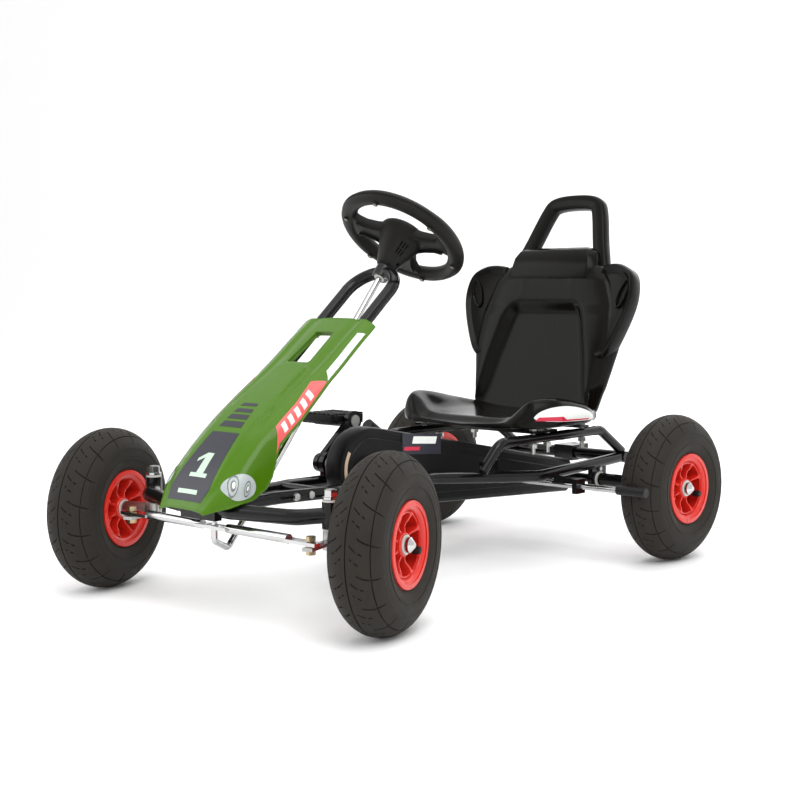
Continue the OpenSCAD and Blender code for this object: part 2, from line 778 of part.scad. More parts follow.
// Cross straps that tie the seat to its two support tubes.
module seat_rails() {
    lift = [2.8, 6.8];              // from the strap up to the underside of the seat
    color([0.1, 0.1, 0.1]) for (i = [0, 1]) let (from = straps[i][0], wide = straps[i][1] - from) difference() {
        union() {
            translate([-support_x - 12, from, tray_z]) cube([2 * support_x + 24, wide, 4]);
            translate([-100, from, tray_z + 3]) cube([200, wide, lift[i] + 1]);
        }
        for (y = bolt_y) both_sides() translate([support_x, y, seat_z]) cylinder(h = 30, r = 4.3);
    }
}

module seat_screws() {
    nut = 7;
    color([0.8, 0.8, 0.82]) both_sides() for (y = bolt_y) translate([support_x, y, seat_z]) {
        translate([0, 0, -27]) cylinder(h = 41, r = 4);
        translate([0, 0, tray_z + 4 + gap - seat_z]) hex(7, 2.5);
        translate([0, 0, 1 - tube_r - gap - nut]) hex(8, nut);
    }
}

// ---- wheels by place ----

module front_left_tyre() at_wheel(true, 1) wheel_tyre();
module front_left_tube() at_wheel(true, 1) { wheel_tube(); wheel_valve(); }
module front_left_rim() at_wheel(true, 1) wheel_rim();
module front_left_bushes() at_wheel(true, 1) wheel_bushes();
module front_right_tyre() at_wheel(true, -1) wheel_tyre();
module front_right_tube() at_wheel(true, -1) { wheel_tube(); wheel_valve(); }
module front_right_rim() at_wheel(true, -1) wheel_rim();
module front_right_bushes() at_wheel(true, -1) wheel_bushes();
module rear_left_tyre() at_wheel(false, 1) wheel_tyre();
module rear_left_tube() at_wheel(false, 1) { wheel_tube(); wheel_valve(); }
module rear_left_rim() at_wheel(false, 1) wheel_rim();
module rear_left_bushes() at_wheel(false, 1) wheel_bushes();
module rear_right_tyre() at_wheel(false, -1) wheel_tyre();
module rear_right_tube() at_wheel(false, -1) { wheel_tube(); wheel_valve(); }
module rear_right_rim() at_wheel(false, -1) wheel_rim();
module rear_right_bushes() at_wheel(false, -1) wheel_bushes();

main_frame_left();
main_frame_right();
front_crossmember();
rear_crossmember();
front_beam();
seat_supports();
steering_hoop();
axle_bushes();
crank_bushes();
steering_bushes();
brake_guides();
frame_bolts();
front_fairing();
fairing_screws();
chain_guard_outer();
chain_guard_inner();
chain();
steering_column();
steering_wheel_rim();
steering_wheel_hub();
steering_wheel_screws();
column_nut();
left_knuckle();
left_knuckle_hardware();
right_knuckle();
right_knuckle_hardware();
tie_rod();
tie_rod_bolts();
front_left_tyre();
front_left_tube();
front_left_rim();
front_left_bushes();
front_right_tyre();
front_right_tube();
front_right_rim();
front_right_bushes();
rear_left_tyre();
rear_left_tube();
rear_left_rim();
rear_left_bushes();
rear_right_tyre();
rear_right_tube();
rear_right_rim();
rear_right_bushes();
rear_axle();
axle_sprocket();
axle_caps();
axle_pin();
crankshaft();
chainring();
pedal_spindles();
left_pedal();
right_pedal();
brake_bar();
brake_tips();
brake_grip();
seat_base();
seat_back();
seat_rails();
seat_screws();
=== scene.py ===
import json
from math import pi, tau, sin, cos, tan, atan2, sqrt, hypot, exp, radians

import bmesh
import bpy
from mathutils import Matrix, Vector
from mathutils.bvhtree import BVHTree


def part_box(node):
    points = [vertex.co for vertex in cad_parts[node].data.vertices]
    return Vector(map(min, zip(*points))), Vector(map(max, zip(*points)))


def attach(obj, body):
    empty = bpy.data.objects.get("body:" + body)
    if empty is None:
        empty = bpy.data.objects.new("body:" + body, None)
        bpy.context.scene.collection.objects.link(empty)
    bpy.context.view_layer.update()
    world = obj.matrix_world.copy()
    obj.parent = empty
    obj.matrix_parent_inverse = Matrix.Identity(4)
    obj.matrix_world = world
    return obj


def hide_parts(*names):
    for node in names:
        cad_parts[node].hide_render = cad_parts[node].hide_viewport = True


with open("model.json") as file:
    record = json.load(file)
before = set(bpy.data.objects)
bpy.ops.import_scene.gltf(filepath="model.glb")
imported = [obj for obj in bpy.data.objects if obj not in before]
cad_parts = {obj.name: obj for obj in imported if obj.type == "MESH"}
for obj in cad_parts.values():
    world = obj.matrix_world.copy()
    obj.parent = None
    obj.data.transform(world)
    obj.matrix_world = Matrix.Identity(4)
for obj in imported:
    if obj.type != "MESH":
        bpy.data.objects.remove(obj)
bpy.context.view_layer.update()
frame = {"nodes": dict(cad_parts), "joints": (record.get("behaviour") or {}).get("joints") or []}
joints = {joint["name"]: joint for joint in frame["joints"]}
scene = bpy.context.scene
mm = 0.001
quarter = Matrix.Rotation(pi / 2, 4, "Y")          # turns a lathe's Z axis onto +X


# camera, floor and light

viewSettings = {
    "place": (1.6279, -1.6969, 0.4824),
    "azimuth": 40.23,
    "elevation": 2.59,
    "roll": -0.13,
    "lens": 61.8,
    "shift": (-0.1105, -0.0591),
}


def placeCamera():
    camera = bpy.data.objects.new("camera", bpy.data.cameras.new("camera"))
    scene.collection.objects.link(camera)
    camera.data.lens = viewSettings["lens"]
    camera.data.sensor_width = 36
    camera.data.shift_x, camera.data.shift_y = viewSettings["shift"]
    camera.location = viewSettings["place"]
    azimuth = radians(viewSettings["azimuth"])
    elevation = radians(viewSettings["elevation"])
    forward = Vector((-sin(azimuth) * cos(elevation), cos(azimuth) * cos(elevation), -sin(elevation)))
    roll = Matrix.Rotation(radians(viewSettings["roll"]), 3, "Z").to_quaternion()
    camera.rotation_mode = "QUATERNION"
    camera.rotation_quaternion = forward.to_track_quat("-Z", "Y") @ roll
    scene.camera = camera


def addLight(name, place, size, power, target=(0, 0, 0.25)):
    light = bpy.data.lights.new(name, "AREA")
    light.size = size
    light.energy = power
    lamp = bpy.data.objects.new(name, light)
    scene.collection.objects.link(lamp)
    lamp.location = place
    lamp.rotation_euler = (Vector(target) - Vector(place)).to_track_quat("-Z", "Y").to_euler()


def lightStage():
    addLight("keyLight", (2.2, -1.2, 3.0), 2.2, 62)
    addLight("fillLight", (-2.8, -2.6, 1.9), 2.6, 34)
    addLight("backLight", (-0.6, 2.6, 3.0), 2.4, 60, (-0.4, 4.0, 0.8))
    addLight("topLight", (0, 0, 3.6), 3.0, 36)
    world = bpy.data.worlds.new("studio")
    world.use_nodes = True
    world.node_tree.nodes["Background"].inputs["Color"].default_value = (1, 1, 1, 1)
    world.node_tree.nodes["Background"].inputs["Strength"].default_value = 1.0
    scene.world = world
    scene.view_settings.view_transform = "Standard"
    floorMesh = bpy.data.meshes.new("floor")
    reach, rise, bend, bendAt = 9.0, 7.0, 1.2, 3.0
    profile = [(-reach, 0), (bendAt, 0)]
    profile += [(bendAt + bend * sin(a), bend - bend * cos(a)) for a in (radians(15 * i) for i in range(1, 7))]
    profile += [(bendAt + bend, rise)]
    verts = [(x, y, z) for y, z in profile for x in (-reach, reach)]
    faces = [(2 * i, 2 * i + 1, 2 * i + 3, 2 * i + 2) for i in range(len(profile) - 1)]
    floorMesh.from_pydata(verts, [], faces)
    floor = bpy.data.objects.new("floor", floorMesh)
    scene.collection.objects.link(floor)
    floorMesh.shade_smooth()
    paint = bpy.data.materials.new("palePaper")
    paint.use_nodes = True
    shader = paint.node_tree.nodes["Principled BSDF"]
    shader.inputs["Base Color"].default_value = (0.96, 0.96, 0.96, 1)
    shader.inputs["Roughness"].default_value = 0.6
    floorMesh.materials.append(paint)


placeCamera()
lightStage()
print("camera and light are set")


# shared shader groups

def newGroup(name, inputs, outputs):
    group = bpy.data.node_groups.new(name, "ShaderNodeTree")
    for label, value in inputs.items():
        kind = "NodeSocketColor" if isinstance(value, tuple) else "NodeSocketFloat"
        socket = group.interface.new_socket(label, in_out="INPUT", socket_type=kind)
        socket.default_value = value
    for label, kind in outputs.items():
        group.interface.new_socket(label, in_out="OUTPUT", socket_type=kind)
    return group, group.nodes.new("NodeGroupInput"), group.nodes.new("NodeGroupOutput")


def wire(tree, *links):
    for start, output, end, entry in links:
        tree.links.new(start.outputs[output], end.inputs[entry])


def makeSurfaceNoise():
    # fine grain as a height, and a slow drift that changes colour and gloss a little
    group, source, result = newGroup(
        "surfaceNoise",
        {"Grain Scale": 900.0, "Drift Scale": 12.0, "Low": 0.25, "High": 0.4,
         "Dark": (0.0, 0.0, 0.0, 1), "Light": (0.1, 0.1, 0.1, 1)},
        {"Color": "NodeSocketColor", "Roughness": "NodeSocketFloat", "Height": "NodeSocketFloat"})
    nodes = group.nodes
    place = nodes.new("ShaderNodeTexCoord")
    grain = nodes.new("ShaderNodeTexNoise")
    grain.inputs["Detail"].default_value = 3
    drift = nodes.new("ShaderNodeTexNoise")
    drift.inputs["Detail"].default_value = 5
    ramp = nodes.new("ShaderNodeMapRange")
    ramp.inputs["From Min"].default_value = 0.3
    ramp.inputs["From Max"].default_value = 0.7
    mix = nodes.new("ShaderNodeMix")
    mix.data_type = "RGBA"
    wire(group,
         (place, "Object", grain, "Vector"), (place, "Object", drift, "Vector"),
         (source, "Grain Scale", grain, "Scale"), (source, "Drift Scale", drift, "Scale"),
         (drift, "Fac", ramp, "Value"), (source, "Low", ramp, "To Min"), (source, "High", ramp, "To Max"),
         (drift, "Fac", mix, "Factor"), (source, "Dark", mix, "A"), (source, "Light", mix, "B"),
         (mix, "Result", result, "Color"), (ramp, "Result", result, "Roughness"),
         (grain, "Fac", result, "Height"))
    return group


surfaceNoise = makeSurfaceNoise()

printedFilm = {"gloss": (0.24, 0.32), "grain": 500, "bump": 0.02, "shine": 0.4}
finishes = {
    "blackPaint": {"dark": (0.003, 0.003, 0.003), "light": (0.006, 0.006, 0.006), "gloss": (0.12, 0.22),
                   "grain": 160, "bump": 0.06, "coat": 0.1, "shine": 0.2},
    "greenShell": {"dark": (0.052, 0.14, 0.0015), "light": (0.062, 0.16, 0.0025), "gloss": (0.2, 0.3),
                   "grain": 120, "bump": 0.04, "coat": 0.06, "shine": 0.2},
    "seatPlastic": {"dark": (0.003, 0.0028, 0.0024), "light": (0.0055, 0.005, 0.0043), "gloss": (0.15, 0.24),
                    "grain": 1500, "bump": 0.1, "shine": 0.1},
    "guardPlastic": {"dark": (0.0045, 0.0045, 0.0047), "light": (0.0075, 0.0075, 0.0078), "gloss": (0.3, 0.42),
                     "grain": 1800, "bump": 0.15, "shine": 0.12},
    "wheelPlastic": {"dark": (0.007, 0.0066, 0.006), "light": (0.012, 0.0113, 0.0103), "gloss": (0.38, 0.5),
                     "grain": 2200, "bump": 0.3, "shine": 0.14},
    "redPlastic": {"dark": (0.52, 0.012, 0.006), "light": (0.62, 0.02, 0.01), "gloss": (0.24, 0.36),
                   "grain": 300, "bump": 0.04, "coat": 0.15, "shine": 0.4},
    "tyreRubber": {"dark": (0.0135, 0.0118, 0.0095), "light": (0.029, 0.0255, 0.021), "gloss": (0.55, 0.75),
                   "grain": 1400, "bump": 0.3, "drift": 22, "shine": 0.15},
    "softRubber": {"dark": (0.005, 0.005, 0.005), "light": (0.01, 0.01, 0.01), "gloss": (0.4, 0.55),
                   "grain": 1500, "bump": 0.15, "shine": 0.25},
    "zincPlate": {"dark": (0.3, 0.3, 0.29), "light": (0.5, 0.5, 0.48), "gloss": (0.22, 0.4),
                  "grain": 900, "bump": 0.08, "metal": 1},
    "yellowZinc": {"dark": (0.34, 0.25, 0.13), "light": (0.56, 0.46, 0.29), "gloss": (0.22, 0.4),
                   "grain": 900, "bump": 0.08, "metal": 1, "drift": 60},
    "chrome": {"dark": (0.44, 0.44, 0.44), "light": (0.6, 0.6, 0.6), "gloss": (0.08, 0.18),
               "grain": 300, "bump": 0.02, "metal": 1},
    "oiledSteel": {"dark": (0.1, 0.085, 0.065), "light": (0.28, 0.25, 0.21), "gloss": (0.26, 0.45),
                   "grain": 800, "bump": 0.1, "metal": 1, "drift": 50},
    "nylon": {"dark": (0.5, 0.49, 0.45), "light": (0.62, 0.61, 0.57), "gloss": (0.4, 0.5),
              "grain": 900, "bump": 0.05},
    "charcoalFoil": {"dark": (0.022, 0.022, 0.032), "light": (0.028, 0.028, 0.039), "gloss": (0.26, 0.34),
                     "grain": 500, "bump": 0.02, "shine": 0.3},
    "whiteFoil": {"dark": (0.68, 0.7, 0.67), "light": (0.78, 0.8, 0.77), **printedFilm},
    "mintFoil": {"dark": (0.44, 0.58, 0.46), "light": (0.54, 0.68, 0.56), **printedFilm},
    "coralFoil": {"dark": (0.66, 0.085, 0.085), "light": (0.74, 0.115, 0.11), **printedFilm},
    "crimsonFoil": {"dark": (0.5, 0.012, 0.045), "light": (0.56, 0.02, 0.055), **printedFilm},
    "silverFoil": {"dark": (0.3, 0.34, 0.34), "light": (0.48, 0.53, 0.52), "gloss": (0.2, 0.34),
                   "grain": 240, "bump": 0.03, "drift": 60, "shine": 0.4},
    "greyFoil": {"dark": (0.1, 0.11, 0.11), "light": (0.2, 0.21, 0.21), "gloss": (0.2, 0.34),
                 "grain": 240, "bump": 0.03, "drift": 120, "shine": 0.4},
    "strawFoil": {"dark": (0.42, 0.3, 0.2), "light": (0.55, 0.41, 0.28), "gloss": (0.2, 0.3),
                  "grain": 400, "bump": 0.05, "drift": 60, "shine": 0.3},
}
materials = {}


def makeFinish(name, dark, light, gloss, grain, bump, coat=0, metal=0, drift=14, shine=0.5):
    material = bpy.data.materials.new(name)
    material.use_nodes = True
    nodes = material.node_tree.nodes
    shader = nodes["Principled BSDF"]
    noise = nodes.new("ShaderNodeGroup")
    noise.node_tree = surfaceNoise
    noise.inputs["Grain Scale"].default_value = grain
    noise.inputs["Drift Scale"].default_value = drift
    noise.inputs["Low"].default_value, noise.inputs["High"].default_value = gloss
    noise.inputs["Dark"].default_value = (*dark, 1)
    noise.inputs["Light"].default_value = (*light, 1)
    relief = nodes.new("ShaderNodeBump")
    relief.inputs["Strength"].default_value = bump
    relief.inputs["Distance"].default_value = 0.0006
    wire(material.node_tree,
         (noise, "Color", shader, "Base Color"), (noise, "Roughness", shader, "Roughness"),
         (noise, "Height", relief, "Height"), (relief, "Normal", shader, "Normal"))
    shader.inputs["Metallic"].default_value = metal
    shader.inputs["Specular IOR Level"].default_value = shine
    shader.inputs["Coat Weight"].default_value = coat
    shader.inputs["Coat Roughness"].default_value = 0.08
    materials[name] = material


for finishName, look in finishes.items():
    makeFinish(finishName, **look)
print("materials:", len(materials))


# mesh helpers

class Shape:
    # collects points in millimetres and faces with a finish each
    def __init__(self):
        self.points, self.faces, self.finishOf, self.finishes = [], [], [], []

    def add(self, points, faces, finish, place=None):
        place = place or Matrix()
        start = len(self.points)
        self.points += [place @ Vector(p) for p in points]
        if finish not in self.finishes:
            self.finishes.append(finish)
        index = self.finishes.index(finish)
        self.faces += [tuple(start + i for i in face) for face in faces]
        self.finishOf += [index] * len(faces)
        return self

    def loft(self, rows, finish, place=None, capped=True):
        # rows of equally many points, each a closed ring
        count = len(rows[0])
        faces = []
        for r in range(len(rows) - 1):
            for i in range(count):
                a, b = r * count + i, r * count + (i + 1) % count
                faces.append((a, b, b + count, a + count))
        if capped:
            faces.append(tuple(reversed(range(count))))
            faces.append(tuple(range((len(rows) - 1) * count, len(rows) * count)))
        return self.add([p for row in rows for p in row], faces, finish, place)

    def lathe(self, profile, finish, place=None, steps=64):
        # profile is (radius, height) about Z, both ends on the axis or the profile a closed ring
        ring = profile[0][0] > 0 and profile[-1][0] > 0
        if ring:
            profile = profile + profile[:1]
        points, faces, rows = [], [], []
        for radius, height in profile:
            if radius < 1e-6:
                rows.append([len(points)] * steps)
                points.append((0, 0, height))
            else:
                rows.append(list(range(len(points), len(points) + steps)))
                points += [(radius * cos(tau * i / steps), radius * sin(tau * i / steps), height)
                           for i in range(steps)]
        for low, high in zip(rows, rows[1:]):
            for i in range(steps):
                j = (i + 1) % steps
                face = []
                for corner in (low[i], low[j], high[j], high[i]):
                    if corner not in face:
                        face.append(corner)
                if len(face) > 2:
                    faces.append(tuple(face))
        return self.add(points, faces, finish, place)

    def tube(self, path, radius, finish, place=None, sides=20, closed=False):
        path = [Vector(p) for p in path]
        rows, side = [], None
        for i, point in enumerate(path):
            before = path[i - 1] if i or closed else point
            after = path[(i + 1) % len(path)] if i < len(path) - 1 or closed else point
            ahead = (after - before).normalized()
            if side is None:
                side = ahead.orthogonal().normalized()
            side = (side - ahead * side.dot(ahead)).normalized()
            up = ahead.cross(side)
            rows.append([point + radius * (cos(tau * k / sides) * side + sin(tau * k / sides) * up)
                         for k in range(sides)])
        if closed:
            rows.append(rows[0])
        return self.loft(rows, finish, place, capped=not closed)

    def box(self, low, high, finish, place=None):
        x0, y0, z0 = low
        x1, y1, z1 = high
        rows = [[(x0, y0, z), (x1, y0, z), (x1, y1, z), (x0, y1, z)] for z in (z0, z1)]
        return self.loft(rows, finish, place)

    def plate(self, outline, z0, z1, finish, place=None):
        return self.loft([[(x, y, z) for x, y in outline] for z in (z0, z1)], finish, place)

    def object(self, name, smoothAngle=35):
        mesh = bpy.data.meshes.new(name)
        mesh.from_pydata([p * mm for p in self.points], [], self.faces)
        for finish in self.finishes:
            mesh.materials.append(materials[finish])
        mesh.polygons.foreach_set("material_index", self.finishOf)
        work = bmesh.new()
        work.from_mesh(mesh)
        bmesh.ops.remove_doubles(work, verts=work.verts, dist=2e-6)
        bmesh.ops.recalc_face_normals(work, faces=work.faces)
        work.to_mesh(mesh)
        work.free()
        mesh.shade_smooth()
        mesh.set_sharp_from_angle(angle=radians(smoothAngle))
        piece = bpy.data.objects.new(name, mesh)
        scene.collection.objects.link(piece)
        return piece


def bakeModifiers(piece, smoothAngle=35):
    # turns the modified shape into a plain mesh
    depsgraph = bpy.context.evaluated_depsgraph_get()
    mesh = bpy.data.meshes.new_from_object(piece.evaluated_get(depsgraph))
    piece.modifiers.clear()
    old = piece.data
    piece.data = mesh
    bpy.data.meshes.remove(old)
    mesh.name = piece.name
    mesh.shade_smooth()
    mesh.set_sharp_from_angle(angle=radians(smoothAngle))
    return piece


def bevel(piece, width, segments=2, angle=40):
    edge = piece.modifiers.new("edge", "BEVEL")
    edge.width = width * mm
    edge.segments = segments
    edge.angle_limit = radians(angle)
    edge.limit_method = "ANGLE"
    edge.harden_normals = False
    return bakeModifiers(piece)


def thicken(piece, thickness, offset=0, smoothAngle=35):
    wall = piece.modifiers.new("wall", "SOLIDIFY")
    wall.thickness = thickness * mm
    wall.offset = offset
    return bakeModifiers(piece, smoothAngle)


def subdivide(piece, levels):
    smooth = piece.modifiers.new("smooth", "SUBSURF")
    smooth.levels = levels
    smooth.render_levels = levels
    return bakeModifiers(piece)


def cutAway(piece, cutter):
    cut = piece.modifiers.new("cut", "BOOLEAN")
    cut.operation = "DIFFERENCE"
    cut.solver = "EXACT"
    cut.object = cutter
    bakeModifiers(piece)
    bpy.data.objects.remove(cutter)
    return piece


def finishPiece(piece, body, slotName, *nodes):
    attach(piece, body)
    if nodes:
        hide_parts(*nodes)
    return piece


def dress(finish, *nodes):
    # a CAD node whose shape is right keeps it and gets its real finish
    for node in nodes:
        piece = frame["nodes"][node]
        piece.data.materials.clear()
        piece.data.materials.append(materials[finish])


def smoothCorners(points, rounds=2, closed=False):
    # corner cutting; an open line keeps its ends
    points = [Vector(p) for p in points]
    for _ in range(rounds):
        cut = [] if closed else [points[0]]
        pairs = list(zip(points, points[1:] + points[:1])) if closed else list(zip(points, points[1:]))
        for a, b in pairs:
            cut += [a.lerp(b, 0.25), a.lerp(b, 0.75)]
        points = cut if closed else cut + [points[-1]]
    return points


def arcCorners(points, radius):
    # a path whose corners are round bends
    steps = 8
    points = [Vector(p) for p in points]
    path = [points[0]]
    for before, corner, after in zip(points, points[1:], points[2:]):
        back, ahead = (before - corner).normalized(), (after - corner).normalized()
        half = back.angle(ahead) / 2
        reach = min(radius / tan(half), 0.49 * min((before - corner).length, (after - corner).length))
        bend = reach * tan(half)
        middle = corner + (back + ahead).normalized() * sqrt(reach ** 2 + bend ** 2)
        start, end = corner + back * reach - middle, corner + ahead * reach - middle
        whole = start.angle(end)
        for i in range(steps + 1):
            t = i / steps
            path.append(middle + (sin((1 - t) * whole) * start + sin(t * whole) * end) / sin(whole))
    return path + [points[-1]]


def blendKeys(keys, t):
    # smooth values between (t, value) keys
    for (t0, a), (t1, b) in zip(keys, keys[1:]):
        if t <= t1:
            k = max(0, (t - t0) / (t1 - t0))
            return a + (b - a) * k
    return keys[-1][1]


def ease(t):
    t = min(1, max(0, t))
    return t * t * (3 - 2 * t)


def roundedOutline(width, height, radius):
    points = []
    steps = 5
    for sx, sy, start in ((1, 1, 0), (-1, 1, 90), (-1, -1, 180), (1, -1, 270)):
        for i in range(steps + 1):
            a = radians(start + 90 * i / steps)
            points.append((sx * (width / 2 - radius) + radius * cos(a),
                           sy * (height / 2 - radius) + radius * sin(a)))
    return points


# Geometry Nodes: copies round an axis, and copies along a path

def newTree(name, inputs):
    tree = bpy.data.node_groups.new(name, "GeometryNodeTree")
    tree.interface.new_socket("Geometry", in_out="OUTPUT", socket_type="NodeSocketGeometry")
    sockets = {}
    for label, kind in inputs.items():
        sockets[label] = tree.interface.new_socket(label, in_out="INPUT", socket_type=kind).identifier
    return tree, tree.nodes.new("NodeGroupInput"), tree.nodes.new("NodeGroupOutput"), sockets


def endTree(tree, source, result, copies):
    realize = tree.nodes.new("GeometryNodeRealizeInstances")
    setMaterial = tree.nodes.new("GeometryNodeSetMaterial")
    wire(tree,
         (copies, "Instances", realize, "Geometry"), (realize, "Geometry", setMaterial, "Geometry"),
         (source, "Finish", setMaterial, "Material"), (setMaterial, "Geometry", result, "Geometry"))


def makeRingTree():
    # Copies of Item, turned about X in equal steps
    tree, source, result, sockets = newTree("copiesRoundAxis", {
        "Item": "NodeSocketObject", "Copies": "NodeSocketInt", "Finish": "NodeSocketMaterial"})
    nodes = tree.nodes
    line = nodes.new("GeometryNodeMeshLine")
    line.inputs["Offset"].default_value = (0, 0, 0)
    item = nodes.new("GeometryNodeObjectInfo")
    step = nodes.new("ShaderNodeMath")
    step.operation = "DIVIDE"
    step.inputs[0].default_value = tau
    index = nodes.new("GeometryNodeInputIndex")
    angle = nodes.new("ShaderNodeMath")
    angle.operation = "MULTIPLY"
    turn = nodes.new("ShaderNodeCombineXYZ")
    copies = nodes.new("GeometryNodeInstanceOnPoints")
    wire(tree,
         (source, "Copies", line, "Count"), (source, "Copies", step, 1), (source, "Item", item, "Object"),
         (index, 0, angle, 0), (step, 0, angle, 1), (angle, 0, turn, "X"),
         (line, "Mesh", copies, "Points"), (item, "Geometry", copies, "Instance"),
         (turn, 0, copies, "Rotation"))
    endTree(tree, source, result, copies)
    return tree, sockets


def makePathTree():
    # Copies of Item along Path, each with its X axis along it
    tree, source, result, sockets = newTree("copiesAlongPath", {
        "Path": "NodeSocketObject", "Item": "NodeSocketObject", "Copies": "NodeSocketInt",
        "Finish": "NodeSocketMaterial"})
    nodes = tree.nodes
    path = nodes.new("GeometryNodeObjectInfo")
    item = nodes.new("GeometryNodeObjectInfo")
    even = nodes.new("GeometryNodeResampleCurve")
    tangent = nodes.new("GeometryNodeInputTangent")
    align = nodes.new("FunctionNodeAlignRotationToVector")
    align.axis = "X"
    align.pivot_axis = "Z"
    copies = nodes.new("GeometryNodeInstanceOnPoints")
    wire(tree,
         (source, "Path", path, "Object"), (source, "Item", item, "Object"),
         (path, "Geometry", even, "Curve"), (source, "Copies", even, "Count"),
         (even, "Curve", copies, "Points"), (item, "Geometry", copies, "Instance"),
         (tangent, 0, align, "Vector"), (align, "Rotation", copies, "Rotation"))
    endTree(tree, source, result, copies)
    return tree, sockets


ringTree, ringSockets = makeRingTree()
pathTree, pathSockets = makePathTree()


def runTree(name, tree, sockets, values, place=None):
    holder = bpy.data.objects.new(name, bpy.data.meshes.new(name))
    scene.collection.objects.link(holder)
    copies = holder.modifiers.new("copies", "NODES")
    copies.node_group = tree
    for label, value in values.items():
        copies[sockets[label]] = value
    bakeModifiers(holder)
    if place is not None:
        holder.data.transform(place)
    return holder


def copiesRound(name, item, copies, finish, place=None):
    made = runTree(name, ringTree, ringSockets,
                   {"Item": item, "Copies": copies, "Finish": materials[finish]}, place)
    bpy.data.objects.remove(item)
    return made


def joinPieces(main, *others):
    work = bmesh.new()
    for piece in (main, *others):
        shift = []
        for material in piece.data.materials:
            if material.name not in [m.name for m in main.data.materials]:
                main.data.materials.append(material)
            shift.append([m.name for m in main.data.materials].index(material.name))
        first = len(work.faces)
        work.from_mesh(piece.data)
        work.faces.ensure_lookup_table()
        for face in list(work.faces)[first:]:
            face.material_index = shift[face.material_index] if shift else 0
    work.to_mesh(main.data)
    work.free()
    for piece in others:
        bpy.data.objects.remove(piece)
    return main


def placed(matrix):
    # a placing in metres from one whose shift is in millimetres
    made = matrix.copy()
    made.translation = matrix.translation * mm
    return made


def copyPiece(source, name, matrix):
    piece = bpy.data.objects.new(name, source.data.copy())
    piece.data.transform(matrix)
    if matrix.determinant() < 0:
        piece.data.flip_normals()
    scene.collection.objects.link(piece)
    return piece


# wheels

wheelSettings = {
    "radius": 130, "section": 43, "beadRadius": 50.9,
    "pitches": 16, "groove": 1.9, "depth": 2.2,
    "sweepBack": 13, "shoulder": 46, "sidewallEnd": 74,
    "spokes": 8, "flange": 62.4,
}


def treadDepth(column, phi):
    # column: 0 long groove, 1 first dash row, 2 second dash row; phi is the angle from the crown
    side = abs(phi)
    if column == 0:
        return side > 20 and side < wheelSettings["sidewallEnd"] - 6
    if column == 1:
        return 7 < side < 20 or 24 < side < 30
    return 9 < side < 12.5 or 17 < side < 21


def makeTyre():
    s = wheelSettings
    ring, section = s["radius"] - s["section"], s["section"]
    wallStep = 0.9                                 # how far the plain sidewall lies below the tread
    marks = []                                     # (part of a pitch, groove column or None)
    halfGroove = s["groove"] / 2 / s["radius"] * s["pitches"] / tau
    for column, centre in enumerate((0.12, 0.48, 0.8)):
        marks += [(centre - halfGroove * 1.25, None), (centre - halfGroove * 0.8, column),
                  (centre + halfGroove * 0.8, column), (centre + halfGroove * 1.25, None)]
    marks += [(0.3, None), (0.64, None), (0.95, None), (0.99, None)]
    marks.sort()
    columns = [(pitch + at, column) for pitch in range(s["pitches"]) for at, column in marks]
    shoulder, wallEnd = s["shoulder"], s["sidewallEnd"]
    edges = [0.9, 1.4, 7, 7.4, 9, 9.3, 12.2, 12.5, 14.5, 17, 17.3, 19.6, 20, 20.4, 24, 24.3, 27, 29.7, 30,
             35, 40, shoulder - 1, shoulder - 0.6, shoulder + 0.6, shoulder + 1, 52, 58, 63,
             wallEnd - 6, wallEnd - 5.6, wallEnd, wallEnd + 1.5, 84, 94, 104, 114, 124, 131, 136]
    phis = sorted([-e for e in edges] + edges)

    def lowered(phi, column):
        side = abs(phi)
        if side < 1.1 or abs(side - shoulder) < 0.8:
            return s["depth"]
        if column is not None and treadDepth(column, phi):
            return s["depth"] * (1 if side < 60 else 0.5)
        if wallEnd < side:
            return wallStep * ease((side - wallEnd) / 1.5)
        return 0

    rows = []
    for phi in phis:
        row = []
        for at, column in columns:
            sweep = radians(s["sweepBack"]) * (1 - exp(-abs(phi) / 26))
            theta = tau * at / s["pitches"] + sweep
            radius = section - lowered(phi, column)
            across, out = radius * sin(radians(phi)), ring + radius * cos(radians(phi))
            row.append((across, out * cos(theta), out * sin(theta)))
        rows.append(row)
    bead = section * sin(radians(phis[-1]))
    for across in (bead - 3, 0, 3 - bead):
        inner = s["beadRadius"] if across else s["beadRadius"] + 1.5
        rows.append([(across, inner * cos(tau * at / s["pitches"]), inner * sin(tau * at / s["pitches"]))
                     for at, column in columns])
    rows.append(rows[0])
    shape = Shape().loft(rows, "tyreRubber", capped=False)
    # moulded ring lines on both sidewalls
    for sideways in (-1, 1):
        for phi, thick in ((98, 0.9), (122, 1.2)):
            out = ring + (section - wallStep) * cos(radians(phi))
            across = sideways * ((section - wallStep) * sin(radians(phi)))
            shape.tube([(across, out * cos(tau * i / 96), out * sin(tau * i / 96)) for i in range(96)], thick,
                       "tyreRubber", sides=6, closed=True)
    return shape.object("tyre", 28)


